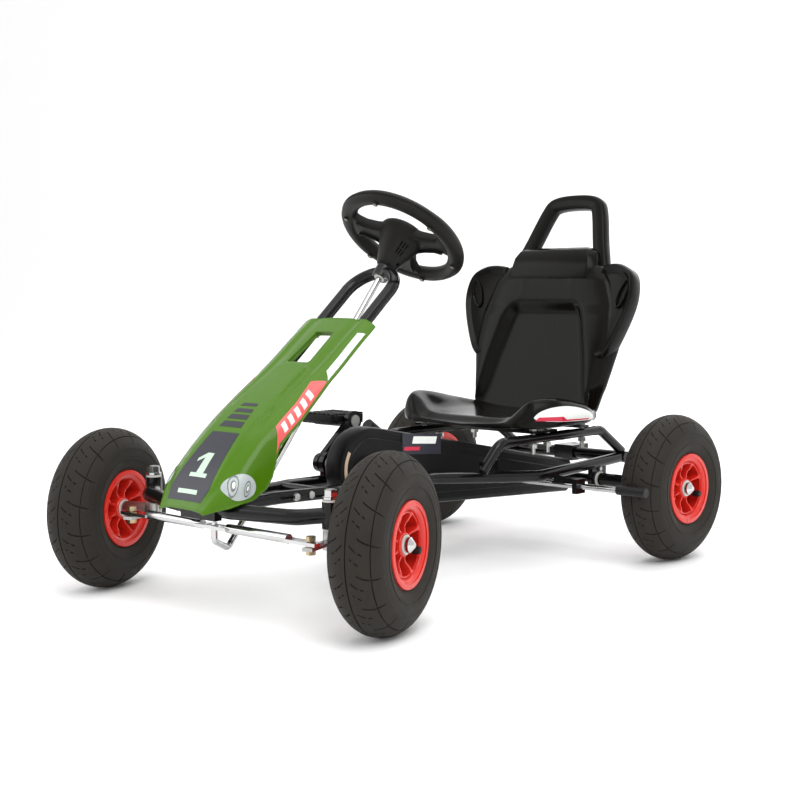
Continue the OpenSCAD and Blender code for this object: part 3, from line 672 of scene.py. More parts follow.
def makeRim():
    s = wheelSettings
    lip = s["flange"]
    outside = [(lip - 8, 38.2), (lip - 2, 38.2), (lip - 0.6, 37.6), (lip, 36.2), (lip, 34.6), (lip - 2.4, 33.2),
               (53.5, 31), (51, 27.5), (50.2, 22), (50.2, 0)]
    inside = [(46, 0), (46.4, 20), (47, 29.5), (48.2, 33), (50.5, 35.2), (lip - 8, 36.4)]
    profile = [(r, x) for r, x in outside] + [(r, -x) for r, x in reversed(outside[:-1])]
    profile += [(r, -x) for r, x in reversed(inside)] + [(r, x) for r, x in inside[1:]]
    shape = Shape().lathe(profile, "redPlastic", quarter, 96)
    hub = [(11.15, -29), (16, -29), (17.2, -28), (18, -26.5), (18, -3), (18, 26.5), (17.2, 28), (16, 29),
           (14.4, 29), (14.2, 26.8), (12.6, 26.8), (12.4, 29), (11.15, 29)]
    shape.lathe(hub, "redPlastic", quarter, 64)
    shape.lathe([(17, -3), (47, -3), (47, 3), (17, 3)], "redPlastic", quarter, 64)
    # a raised ring round the hub and one inside the flange
    for radius, x in ((22, 4.2), (45, 30)):
        shape.lathe([(radius - 1.2, x - 2), (radius + 1.2, x - 2), (radius + 1.2, x), (radius - 1.2, x)],
                    "redPlastic", quarter, 64)
    rim = shape.object("rim", 30)
    spoke = Shape()
    keys = ((17, 3.4, 25.5), (20, 1.9, 25), (26, 1.5, 23.4), (32, 1.6, 25), (34, 1.7, 27), (40, 2.1, 29.5),
            (44, 3.4, 30.6), (46.6, 6.4, 31.4))
    spoke.loft([[(-x, -t, r), (x, -t, r), (x, t, r), (-x, t, r)] for r, t, x in keys], "redPlastic")
    item = spoke.object("spokeItem")
    spokes = copiesRound("spokes", bevel(item, 0.7, 2), s["spokes"], "redPlastic",
                         Matrix.Rotation(radians(22.5), 4, "X"))
    holes = Shape().lathe([(0, -8), (5.4, -8), (5.4, 8), (0, 8)], "redPlastic",
                          Matrix.Translation((0, 0, 33)) @ quarter, 24).object("holeItem")
    cutters = copiesRound("holes", holes, s["spokes"], "redPlastic")
    cutAway(rim, cutters)
    return joinPieces(rim, spokes)


def makeValve():
    shape = Shape()
    ring = wheelSettings["radius"] - wheelSettings["section"]
    tube = [(ring + 37 * cos(radians(a)), 37 * sin(radians(a))) for a in range(160, -161, -16)]
    shape.lathe([(ring - 36, 0)] + tube, "softRubber", quarter, 64)
    turn = Matrix.Rotation(radians(22.5 - 135), 4, "X")
    path = arcCorners([(14, 0, 52), (17, 0, 38), (28, 0, 34)], 6)
    shape.tube(path, 3.4, "softRubber", turn, 16)
    # the cap, with fine ribs
    rows = []
    ribs, ribHeight = 14, 0.45
    for x, r in ((25, 4.4), (26, 5.6), (36, 5.3), (38, 4.6), (38.8, 2.8)):
        row = []
        for k in range(2 * ribs):
            reach, a = r + (ribHeight if k % 2 else 0), tau * k / (2 * ribs)
            row.append((x, reach * cos(a), 34.4 - (x - 27) * 0.1 + reach * sin(a)))
        rows.append(row)
    shape.loft(rows, "softRubber", turn)
    return shape.object("valve", 25)


def wheelPlaces():
    # each wheel's placing, from its joint's place and axis; outboard is +X before the turn
    places = {}
    for side, sign in (("left", 1), ("right", -1)):
        joint = joints["front_%s_spin" % side]
        axis = Vector(joint["axis"]).normalized()
        turn = Matrix.Rotation(atan2(axis.y, axis.x), 4, "Z")
        places["front_" + side] = (Matrix.Translation(joint["pos_m"]) @ turn, sign)
    rearX = abs(joints["rear_right_spin"]["pos_m"][0])
    axle = joints["axle_spin"]["pos_m"]
    for side, sign in (("left", 1), ("right", -1)):
        places["rear_" + side] = (Matrix.Translation((sign * rearX, axle[1], axle[2])), sign)
    return places


bodyOfWheel = {"front_left": "wheel_front_left", "front_right": "wheel_front_right", "rear_left": "axle",
               "rear_right": "wheel_rear_right"}


def makeWheels():
    tyre, rim, valve = makeTyre(), makeRim(), makeValve()
    for name, (place, sign) in wheelPlaces().items():
        body = bodyOfWheel[name]
        mirrored = place @ Matrix.Scale(sign, 4, (1, 0, 0))
        finishPiece(copyPiece(tyre, name + "Tyre", mirrored), body, "tyre_rubber", name + "_tyre")
        finishPiece(copyPiece(rim, name + "Rim", mirrored), body, "red_plastic", name + "_rim")
        finishPiece(copyPiece(valve, name + "Valve", mirrored), body, "tube_rubber", name + "_tube")
    for piece in (tyre, rim, valve):
        bpy.data.objects.remove(piece)


makeWheels()
print("wheels are made")


# front fairing

fairingSettings = {
    "ridge": [(-151, 443), (-186, 418), (-239, 375), (-330, 315), (-385, 271), (-440, 213), (-468, 168)],
    "hoodHeight": 5, "hoodStart": 112, "thickness": 3,
    "shoulderX": [(0, 60), (110, 61), (290, 62), (340, 60), (371, 55), (424, 40)],
    "shoulderDrop": [(0, 5), (110, 7), (290, 9), (340, 9), (371, 7), (424, 2)],
    "flankX": [(0, 78), (220, 79), (290, 80), (340, 79), (371, 73), (424, 49)],
    "flankDrop": [(0, 12), (110, 15), (290, 21), (340, 20), (371, 14), (424, 3)],
    "edgeX": [(0, 84), (220, 85), (300, 86), (340, 85), (371, 78), (424, 51)],
    "edgeDrop": [(0, 17), (40, 20), (122, 25), (193, 42), (250, 45), (258, 60), (268, 76), (282, 82), (315, 73),
                 (371, 40), (424, 5)],
    "window": {"top": 34, "bottom": 112, "halfTop": 22, "halfBottom": 27, "corner": 7},
}


def ridgeLine():
    points = [Vector((0, y, z)) for y, z in fairingSettings["ridge"]]
    dense = smoothCorners(points, 3)
    lengths = [0]
    for a, b in zip(dense, dense[1:]):
        lengths.append(lengths[-1] + (b - a).length)
    return dense, lengths


ridgePoints, ridgeLengths = ridgeLine()
fairingLength = ridgeLengths[-1]


def onRidge(s):
    for i in range(len(ridgeLengths) - 1):
        if s <= ridgeLengths[i + 1]:
            t = (s - ridgeLengths[i]) / (ridgeLengths[i + 1] - ridgeLengths[i])
            return ridgePoints[i].lerp(ridgePoints[i + 1], t)
    return ridgePoints[-1]


def fairingSection(s):
    # half of the cross-section at s, from the middle outwards, as (x, drop) with rounded creases
    f = fairingSettings
    value = {key: blendKeys(f[key], s) for key in
             ("shoulderX", "shoulderDrop", "flankX", "flankDrop", "edgeX", "edgeDrop")}
    crease = min(value["shoulderX"] - 6, 36 + 14 * ease((s - 120) / 180))
    line = [(0, 0), (crease - 4, 0.4), (crease + 1, 1.0), (value["shoulderX"], value["shoulderDrop"]),
            (value["flankX"], value["flankDrop"]), (value["edgeX"], value["edgeDrop"])]
    points = smoothCorners([Vector((x, d, 0)) for x, d in line], 3)
    made = []
    for p in points:
        lift = 0
        inHood = ease((crease + 3 - p.x) / 5)
        start = f["hoodStart"] + 12 * (p.x / 36) ** 2
        lift = f["hoodHeight"] * (1 - inHood * ease((s - start) / 7))
        fade = 1 - ease((s - 330) / 70)
        made.append((p.x, p.y + lift * fade * ease((60 - p.x) / 12)))
    return made


def fairingPoint(across, s, lift=0):
    # across is the distance along the section from the middle, with its sign
    half = fairingSection(min(s, fairingLength))
    left = abs(across)
    for (x0, d0), (x1, d1) in zip(half, half[1:]):
        step = hypot(x1 - x0, d1 - d0)
        if left <= step or (x1, d1) == half[-1]:
            t = left / step if step else 0
            x, drop = x0 + (x1 - x0) * t, d0 + (d1 - d0) * t
            normalX, normalZ = (d1 - d0) / step, (x1 - x0) / step
            break
        left -= step
    sign = 1 if across >= 0 else -1
    base = onRidge(s)
    ahead = onRidge(min(s + 3, fairingLength)) - onRidge(max(s - 3, 0))
    slope = ahead.normalized()
    out = Vector((0, slope.z, -slope.y))            # away from the shell, in the middle plane
    lifted = out * normalZ * lift + Vector((sign * normalX * lift, 0, 0))
    return Vector((sign * x, base.y, base.z - drop)) + lifted


def fairingWidth(s):
    half = fairingSection(s)
    return sum(hypot(b[0] - a[0], b[1] - a[1]) for a, b in zip(half, half[1:]))


def windowOutline(grow=0):
    w = fairingSettings["window"]
    half, middle = (w["bottom"] - w["top"]) / 2 + grow, (w["bottom"] + w["top"]) / 2
    top, low = w["halfTop"] + grow, w["halfBottom"] + grow
    corners = [(-top, -half), (top, -half), (low, half), (-low, half)]
    points = []
    for i, corner in enumerate(corners):
        before, here, after = Vector(corners[i - 1]), Vector(corner), Vector(corners[(i + 1) % 4])
        start = here + (before - here).normalized() * w["corner"]
        end = here + (after - here).normalized() * w["corner"]
        for k in range(7):
            t = k / 6
            spot = (1 - t) ** 2 * start + 2 * t * (1 - t) * here + t * t * end
            points.append((spot.x, middle + spot.y))
    return points


def fairingSheet():
    # flat pattern of the fairing in (share of the half width, s), with the window's hole left out
    work = bmesh.new()
    hole = windowOutline()
    across, along = 44, 108
    rows = []
    for i in range(along + 1):
        s = fairingLength * i / along
        wide = fairingWidth(s)
        rows.append([work.verts.new((wide * (2 * k / across - 1), s, 0)) for k in range(across + 1)])
    for low, high in zip(rows, rows[1:]):
        for k in range(across):
            work.faces.new((low[k], low[k + 1], high[k + 1], high[k]))
    for a, b in zip(hole, hole[1:] + hole[:1]):
        side = Vector((b[0] - a[0], b[1] - a[1], 0))
        if side.length < 0.01:
            continue
        near = [f for f in work.faces
                if abs(f.calc_center_median().x) < 60 and 0 < f.calc_center_median().y < 150]
        parts = list({v for f in near for v in f.verts}) + list({e for f in near for e in f.edges}) + near
        bmesh.ops.bisect_plane(work, geom=parts, plane_co=(a[0], a[1], 0), plane_no=(side.y, -side.x, 0))
    inside = []
    for face in work.faces:
        spot = face.calc_center_median()
        if all((b[0] - a[0]) * (spot.y - a[1]) - (b[1] - a[1]) * (spot.x - a[0]) > 0
               for a, b in zip(hole, hole[1:] + hole[:1])):
            inside.append(face)
    bmesh.ops.delete(work, geom=inside, context="FACES")
    work.verts.ensure_lookup_table()
    points = [fairingPoint(v.co.x, v.co.y) for v in work.verts]
    faces = [tuple(v.index for v in face.verts) for face in work.faces]
    work.free()
    return points, faces


def makeFairing():
    f = fairingSettings
    points, faces = fairingSheet()
    fairing = Shape().add(points, faces, "greenShell").object("fairing", 40)
    if sum(face.normal.z * face.area for face in fairing.data.polygons) < 0:
        fairing.data.flip_normals()
    thicken(fairing, f["thickness"], -1, 40)
    # rounded edges all round and at the window, and the window's inner lip
    edges = Shape()
    steps, inset = 60, -1.3
    left = [fairingPoint(-fairingWidth(fairingLength * i / steps), fairingLength * i / steps, inset)
            for i in range(steps + 1)]
    right = [Vector((-p.x, p.y, p.z)) for p in left]
    across = [fairingPoint(fairingWidth(fairingLength) * (k / 8 - 1), fairingLength, inset)
              for k in range(1, 16)]
    top = [fairingPoint(fairingWidth(0) * (1 - k / 8), 0, inset) for k in range(1, 16)]
    around = spread(left + across + list(reversed(right)) + top, 2.5)
    edges.tube(around, 1.9, "greenShell", sides=10, closed=True)
    window = [fairingPoint(x, s, inset) for x, s in windowOutline()]
    edges.tube(window, 1.8, "greenShell", sides=10, closed=True)
    lip = [[fairingPoint(x, s, -depth) for x, s in windowOutline(grow)]
           for depth, grow in ((1, 0.4), (10, 0.4), (10, 2.4), (1, 2.4), (1, 0.4))]
    edges.loft(lip, "greenShell", capped=False)
    joinPieces(fairing, edges.object("fairingEdges", 40))
    return finishPiece(fairing, "chassis", "green_plastic", "front_fairing")


def spread(points, least):
    kept = [points[0]]
    for p in points[1:]:
        if (p - kept[-1]).length > least:
            kept.append(p)
    return kept


def cutFilm(polygon, cell):
    # a flat polygon cut into small cells, so that it can follow a curved surface
    work = bmesh.new()
    work.faces.new([work.verts.new((x, y, 0)) for x, y in polygon])
    xs, ys = [p[0] for p in polygon], [p[1] for p in polygon]
    for values, axis in ((xs, 0), (ys, 1)):
        cut = min(values) + 0.37
        while cut < max(values):
            place, normal = [0, 0, 0], [0, 0, 0]
            place[axis], normal[axis] = cut, 1
            bmesh.ops.bisect_plane(work, geom=work.faces[:] + work.edges[:] + work.verts[:],
                                   plane_co=place, plane_no=normal)
            cut += cell
    bmesh.ops.triangulate(work, faces=work.faces)
    work.verts.ensure_lookup_table()
    return work


def foil(name, outlines, lift=0.3, cell=4):
    # thin printed film laid on the fairing; outlines maps a finish to polygons in (across, s)
    whole = None
    for layer, (finish, polygons) in enumerate(outlines):
        for polygon in polygons:
            work = cutFilm(polygon, cell)
            points = [fairingPoint(v.co.x, v.co.y, lift + 0.12 * layer) for v in work.verts]
            faces = [tuple(v.index for v in face.verts) for face in work.faces]
            work.free()
            piece = bpy.data.meshes.new(name)
            piece.from_pydata([p * mm for p in points], [], faces)
            piece.materials.append(materials[finish])
            piece.shade_smooth()
            film = bpy.data.objects.new(name if whole is None else name + "Layer", piece)
            scene.collection.objects.link(film)
            thicken(film, 0.15)
            whole = film if whole is None else joinPieces(whole, film)
    return finishPiece(whole, "chassis", "green_plastic")


def printOn(target, name, layers, body, slotName, cell=4, level=None):
    # thin printed film pressed sideways onto a piece's left side, or flat at a level
    # polygons are in (y, z)
    mesh = target.data
    tree = BVHTree.FromPolygons([v.co for v in mesh.vertices], [p.vertices for p in mesh.polygons])
    shape = Shape()
    for layer, (finish, polygon) in enumerate(layers):
        work = cutFilm(polygon, cell)
        points = []
        for v in work.verts:
            start = Vector((400, v.co.x, v.co.y)) * mm
            hit, normal, _, _ = tree.ray_cast(start, Vector((-1, 0, 0)))
            if hit is None:
                hit, normal, _, _ = tree.find_nearest(start)
            if level is None:
                points.append(hit / mm + normal * (0.35 + 0.15 * layer))
            else:
                points.append(Vector((level + 0.15 * layer, v.co.x, v.co.y)))
        faces = [tuple(v.index for v in face.verts) for face in work.faces]
        work.free()
        shape.add(points, faces, finish)
    film = thicken(shape.object(name, 60), 0.1, smoothAngle=60)
    return finishPiece(film, body, slotName)


def circle(cx, cy, radius):
    steps = 28
    return [(cx + radius * cos(tau * i / steps), cy + radius * sin(tau * i / steps)) for i in range(steps)]


def makeFoils():
    panel = [(-31, 289), (31, 289), (44, 390), (38, 412), (-38, 412), (-44, 390)]
    foil("numeralPanel", [("charcoalFoil", [panel])])
    foil("raceNumeral", [("mintFoil", [
        [(-4, 330), (10, 330), (12.5, 366), (-3.5, 366)],
        [(-4, 330), (-3.2, 338), (-17, 347), (-18, 341)],
        [(-16, 366.2), (22, 366.2), (23, 373), (-15, 373)]])], lift=0.5)
    bars = []
    for top, thick, reach in ((225, 6.5, 17), (238, 8, 19), (251, 10, 21.5), (266, 12, 24)):
        bars.append([(-reach + 1, top), (reach - 1, top), (reach + 1, top + thick), (-reach - 2, top + thick)])
    foil("ventBars", [("charcoalFoil", bars)])
    foil("noseBar", [("mintFoil", [[(-24, 394), (20, 394), (22, 401), (-22, 401)]])], lift=0.5)
    for side, name in ((1, "left"), (-1, "right")):
        layers = []
        for finish, start, end, low, high, slant in (("whiteFoil", 22, 130, 4, 17, 8),
                                                     ("coralFoil", 128, 258, 4, 30, 22)):
            near = [(side * (fairingWidth(s) - low), s) for s in range(start, end, 8)]
            far = [(side * (fairingWidth(s) - high), s) for s in range(start + slant, end - slant // 2, 8)]
            layers.append((finish, [near + list(reversed(far))]))
        bars = []
        for start in range(160, 226, 16):
            bars.append([(side * (fairingWidth(s) - inset), s) for inset, s in
                         ((9, start), (9, start + 9), (25, start + 13), (25, start + 4))])
        layers.append(("whiteFoil", bars))
        foil(name + "FlankStripe", layers)
        lampS = 334
        body = [(side * share * fairingWidth(lampS + d), lampS + d) for share, d in
                ((0.58, 26), (0.62, 42), (0.76, 46), (0.93, 30), (0.975, 4), (0.96, -22), (0.86, -28),
                 (0.7, -10))]
        rounded = [tuple(p[:2]) for p in smoothCorners([(x, y, 0) for x, y in body], 3, closed=True)]
        lamps = [(side * share * fairingWidth(lampS + d), lampS + d, r) for share, d, r in
                 ((0.74, 24, 13.5), (0.86, -4, 9.5))]
        foil(name + "Headlight", [
            ("silverFoil", [rounded]),
            ("greyFoil", [circle(x, y, r) for x, y, r in lamps]),
            ("silverFoil", [circle(x, y, r * 0.82) for x, y, r in lamps]),
            ("greyFoil", [circle(x, y, r * 0.5) for x, y, r in lamps]),
            ("whiteFoil", [circle(x, y - r * 0.1, r * 0.3) for x, y, r in lamps])], cell=3)


makeFairing()
makeFoils()
print("fairing is made")


# steering wheel

steeringSettings = {
    "rimAt": 613, "rimRadius": 100, "grip": 14, "spokeAngles": (-8, 98, 188), "bosses": 6,
}
steer = joints["steering_turn"]
columnTurn = radians(21.135)
columnDirection = Vector(steer["axis"]).normalized()
columnFoot = Vector(steer["pos_m"]) / mm


def onColumn(height):
    # Z up the steering axis, -Y forward, X to the left, turned with the wheel
    side = Vector((1, 0, 0))
    back = columnDirection.cross(side).normalized()
    axes = Matrix((side, back, columnDirection)).transposed().to_4x4()
    foot = Matrix.Translation(columnFoot + height * columnDirection)
    return foot @ axes @ Matrix.Rotation(columnTurn, 4, "Z")


def makeSteeringWheel():
    s = steeringSettings
    place = onColumn(s["rimAt"])
    shape = Shape()
    rows = []
    steps, sides = 120, 28
    for i in range(steps):
        a = tau * i / steps
        grip = s["grip"] - 1.2 + 1.2 * ease(sin(2 * a + radians(100)) * 1.5)
        row = []
        for k in range(sides):
            b = tau * k / sides
            up, reach = sin(b), s["rimRadius"] + grip * cos(b)
            flat = grip * (0.94 if up < -0.5 else 1)
            row.append((reach * cos(a), reach * sin(a), flat * up))
        rows.append(row)
    shape.loft(rows + [rows[0]], "wheelPlastic", place, capped=False)
    # parting line between the upper and lower mouldings, a fine groove's two lips
    for level in (-1.1, 1.1):
        reach = s["rimRadius"] + sqrt(s["grip"] ** 2 - level ** 2) - 0.35
        line = [(reach * cos(tau * i / steps), reach * sin(tau * i / steps), level) for i in range(steps)]
        shape.tube(line, 0.55, "wheelPlastic", place, sides=6, closed=True)
    rim = shape.object("steeringRim", 30)
    spokes = Shape()
    for angle in s["spokeAngles"]:
        turn = place @ Matrix.Rotation(radians(angle), 4, "Z")
        keys = ((28, 24, -12, 6), (46, 19, -11, 5), (66, 17, -10, 4.5), (80, 20, -10, 5), (92, 29, -9, 6))
        sections = []
        for reach, half, low, high in keys:
            sections.append([(reach, y, z) for y, z in roundedSection(half, low, high, 3)])
        spokes.loft(sections, "wheelPlastic", turn)
        # channel walls on the underside
        for wall in (-1, 1):
            spokes.loft([[(r, wall * (half - 4) + y, z) for y, z in ((-1.4, low + 2), (1.4, low + 2),
                        (1.2, low - 4.5), (-1.2, low - 4.5))] for r, half, low, high in keys[:-1]],
                        "wheelPlastic", turn)
    joinPieces(rim, bevel(spokes.object("steeringSpokes"), 1, 2))
    boss = Shape().lathe([(0, -2), (4.6, -2), (5, -1.4), (5, 1.5), (0, 1.5)], "wheelPlastic", None, 20)
    boss.points = [Vector((p.z - 0.2, p.x, s["rimRadius"] + p.y)) for p in boss.points]
    bosses = copiesRound("bosses", boss.object("bossItem"), s["bosses"], "wheelPlastic")
    # the copies stand round X; stand them round the steering axis, on the underside
    under = Matrix.Translation((0, 0, -s["grip"] + 0.4))
    bosses.data.transform(placed(place @ Matrix.Rotation(radians(20), 4, "Z") @ under
                                 @ Matrix.Rotation(pi / 2, 4, "Y")))
    joinPieces(rim, bosses)
    finishPiece(rim, "steering", "black_plastic", "steering_wheel_rim")


def roundedSection(half, low, high, radius):
    points = []
    for sx, z, start in ((1, high, 0), (-1, high, 90), (-1, low, 180), (1, low, 270)):
        cy, cz = sx * (half - radius), z - radius if z == high else z + radius
        for i in range(4):
            a = radians(start + 30 * i)
            points.append((cy + radius * cos(a), cz + radius * sin(a)))
    return points


def makeHub():
    s = steeringSettings
    place = onColumn(s["rimAt"])
    profile = [(5.1, -66), (15.5, -66), (17.4, -64), (19.5, -58), (30, -30), (38.5, -8), (42, 0), (42.3, 4),
               (41, 7), (37, 8.6), (22, 10.4), (0, 11)]
    shape = Shape().lathe([(0, -20), (5.1, -20)] + profile, "wheelPlastic", place, 72)
    hub = shape.object("steeringHub", 30)
    cutter = Shape()
    turnOut = place @ Matrix.Rotation(-columnTurn - radians(20), 4, "Z")
    for row in (-1, 0, 1):
        for low, high in ((-46, -36), (-34, -24)):
            turn = turnOut @ Matrix.Rotation(radians(11 * row), 4, "Z")
            cutter.box((14, -1, low), (44, 1, high), "guardPlastic", turn)
    cutter.box((12, -3, -60), (30, 3, -54.5), "guardPlastic", turnOut @ Matrix.Rotation(radians(35), 4, "Z"))
    cutAway(hub, cutter.object("slotCutter"))
    finishPiece(hub, "steering", "black_plastic", "steering_wheel_hub")


makeSteeringWheel()
makeHub()
print("steering wheel is made")


# seat

seatSettings = {
    "backFoot": (0, 354, 268), "lean": 17,
    "panFront": 146, "panRear": 350,
}


def onBack(x, up, out):
    # out is towards the rider
    lean = radians(seatSettings["lean"])
    foot = Vector(seatSettings["backFoot"])
    return foot + Vector((x, up * sin(lean) - out * cos(lean), up * cos(lean) + out * sin(lean)))


def makeSeatBack():
    # half widths up the back: recess, raised rim, outer side
    recess = [(-28, 100), (0, 124), (90, 106), (165, 86), (192, 74), (215, 60)]
    side = [(-28, 112), (0, 136), (40, 152), (116, 168), (190, 160), (240, 140), (262, 126), (275, 112)]
    rimHeight = [(-28, 0), (0, 6), (30, 14), (170, 19), (192, 17), (240, 20), (275, 14)]
    rows = []
    for i in range(56):
        up = -28 + 303 * i / 55
        inner, outer = blendKeys(recess, up), blendKeys(side, up)
        rise = blendKeys(rimHeight, up)
        floor = rise * ease((up - 176) / 26)
        thick = 40 - 6 * ease((up - 200) / 70)
        half = [(0, floor), (inner * 0.5, floor), (inner - 9, floor), (inner - 2, floor + 1), (inner + 9, rise),
                (inner + 16, rise + 0.6), ((inner + outer) / 2 + 6, rise - 1), (outer - 9, rise - 5),
                (outer - 1, rise - 15), (outer + 2, rise - 30), (outer, rise - thick + 4),
                (outer - 6, rise - thick - 3)]
        rear = [(outer - 16, rise - thick - 5), (outer * 0.5, rise - thick - 3), (0, rise - thick - 3)]
        line = half + rear
        rows.append([onBack(x, up, out) for x, out in line]
                    + [onBack(-x, up, out) for x, out in reversed(line[1:-1])])
    shell = Shape().loft(rows, "seatPlastic").object("seatShell", 50)
    shell = subdivide(shell, 1)
    # head block: a thick pad over the top of the shell, with cut-back ends
    keys = [(238, 99, 14, -26), (244, 103, 22, -28), (262, 103, 25, -30), (284, 100, 24, -31),
            (300, 94, 18, -32), (309, 84, 6, -32), (312, 74, -6, -28)]
    rows = []
    for up, half, front, rear in keys:
        rows.append([onBack(x, up, out) for x, out in
                     ((-half + 12, front), (half - 12, front), (half, front - 14), (half, rear + 6),
                      (half - 8, rear), (-half + 8, rear), (-half, rear + 6), (-half, front - 14))])
    head = bevel(Shape().loft(rows, "seatPlastic").object("headBlock"), 5, 3, 24)
    joinPieces(shell, head)
    joinPieces(shell, makeHandle())
    for s in (-1, 1):
        joinPieces(shell, makeWing(s))
    finishPiece(shell, "seat", "seat_plastic", "seat_back")


def makeHandle():
    # a flat grip bent to an arch, wider at its feet
    corners = [(-98, 268), (-90, 300), (-80, 330), (-63, 388), (-50, 413)]
    corners += [(-x, y) for x, y in reversed(corners)]
    path = smoothCorners([(x, y, 0) for x, y in corners], 3)
    rows = []
    for i, p in enumerate(path):
        a = path[max(0, i - 1)]
        b = path[min(len(path) - 1, i + 1)]
        ahead = (b - a).normalized()
        normal = Vector((-ahead.y, ahead.x, 0))
        wide = 15 + 3 * ease((320 - p.y) / 60)
        deep = 13
        back = -16 - 0.1 * (p.y - 290)
        row = []
        for k in range(20):
            t = tau * k / 20
            u = abs(cos(t)) ** 0.55 * (1 if cos(t) > 0 else -1) * wide
            v = abs(sin(t)) ** 0.55 * (1 if sin(t) > 0 else -1) * deep
            q = p + normal * u
            row.append(onBack(q.x, q.y, back + v))
        rows.append(row)
    return Shape().loft(rows, "seatPlastic").object("handle", 50)


def makeWing(s):
    # side pad behind the shell's shoulder with a raised border and an oval scoop
    outline = [(118, 100), (146, 84), (162, 96), (186, 150), (200, 196), (200, 230), (192, 256), (166, 272),
               (140, 276), (108, 270)]
    outline = [(p.x, p.y) for p in smoothCorners([(x, y, 0) for x, y in outline], 2, closed=True)]
    middle, turnIn = Vector((150, 190)), 0.16
    rows = []
    for inset, out in ((0.94, -36), (1.0, -30), (1.0, -8), (0.97, -1), (0.93, 1.5), (0.87, 0), (0.83, -5),
                       (0.72, -7), (0.35, -8), (0.02, -8)):
        row = []
        for x, y in outline:
            q = middle + (Vector((x, y)) - middle) * inset
            row.append(onBack(s * q.x, q.y, out + turnIn * (q.x - 150) + 16))
        rows.append(row)
    wing = Shape().loft(rows, "seatPlastic").object("wing", 45)
    scoop = Shape()
    ring = []
    for i in range(32):
        a = tau * i / 32
        x, y = 9 * cos(a), 28 * sin(a)
        q = Vector((176 + x * cos(0.35) + y * sin(0.35), 214 - x * sin(0.35) + y * cos(0.35)))
        ring.append(q)
    path = [onBack(s * q.x, q.y, 11 + turnIn * (q.x - 150)) for q in ring]
    scoop.tube(path, 2.2, "seatPlastic", sides=8, closed=True)
    return joinPieces(wing, scoop.object("scoop", 40))


def makeSeatBase():
    front, rear = seatSettings["panFront"], seatSettings["panRear"]
    rows = []
    steps = 30
    for i in range(steps + 1):
        t = i / steps
        y = front + (rear - front) * t
        nose = ease(t / 0.14)
        half = 130 + 20 * ease(t / 0.1) + 32 * ease(t / 0.36) - 22 * ease((t - 0.7) / 0.3)
        rise = 30 * sin(pi * min(1, t ** 0.55)) + 2
        top = 246 + 10 * nose + 2 * t
        low = 240 + 2 * t
        line = [(0, top), (half * 0.4, top + 1), (half * 0.62, top + 3), (half * 0.74, top + 7 + rise * 0.45),
                (half * 0.84, top + 8 + rise * 0.92), (half * 0.93, top + 6 + rise),
                (half * 0.985, top + rise * 0.75), (half, top - 4 + rise * 0.35), (half * 0.99, low + 6),
                (half * 0.95, low + 1), (half * 0.8, low - 1)]
        pinch = 1 - nose
        line = [(x, z + (243 - z) * 0.55 * pinch) for x, z in line]
        bottom = [(half * 0.4, low - 1), (0, low - 1)]
        full = line + bottom
        rows.append([(x, y, z) for x, z in full] + [(-x, y, z) for x, z in reversed(full[1:-1])])
    pan = Shape().loft(rows, "seatPlastic").object("seatPan", 60)
    pan = subdivide(pan, 2)
    finishPiece(pan, "seat", "seat_plastic", "seat_base")
    arch = smoothCorners([(163, 256, 0), (172, 270, 0), (196, 279, 0), (230, 280, 0), (280, 272, 0),
                          (318, 256, 0), (306, 250, 0), (230, 252, 0)], 2, closed=True)
    printOn(pan, "seatBadge", [
        ("whiteFoil", [tuple(p[:2]) for p in arch]),
        ("crimsonFoil", [(168, 256), (174, 262), (216, 262), (226, 256), (296, 254), (290, 252), (230, 253)]),
    ], "seat", "seat_plastic", 3)


makeSeatBack()
makeSeatBase()
print("seat is made")


# chain guard

crankPlace = Vector(joints["crank_spin"]["pos_m"]) / mm
axlePlace = Vector(joints["axle_spin"]["pos_m"]) / mm
guardSettings = {"left": 44, "right": 4, "radius": 67, "rearHalf": 31, "rearReach": 38, "wall": 2.4}


def guardOutline(inset):
    # round over the chainring, straight to the square-cut rear end; in (y, z)
    g = guardSettings
    along = Vector((axlePlace.y - crankPlace.y, axlePlace.z - crankPlace.z))
    span = along.length
    along.normalize()
    up = Vector((-along.y, along.x))
    r, half, reach = g["radius"] - inset, g["rearHalf"] - inset, span + g["rearReach"] - inset
    tilt = atan2(g["radius"] - g["rearHalf"], span)
    points = []
    for i in range(25):
        a = pi / 2 - tilt + (pi + 2 * tilt) * i / 24
        points.append(along * (r * cos(a)) + up * (r * sin(a)))
    points += [along * (reach - 8) - up * half, along * reach - up * (half - 8),
               along * reach + up * (half - 8), along * (reach - 8) + up * half]
    centre = Vector((crankPlace.y, crankPlace.z))
    return [centre + p for p in points]


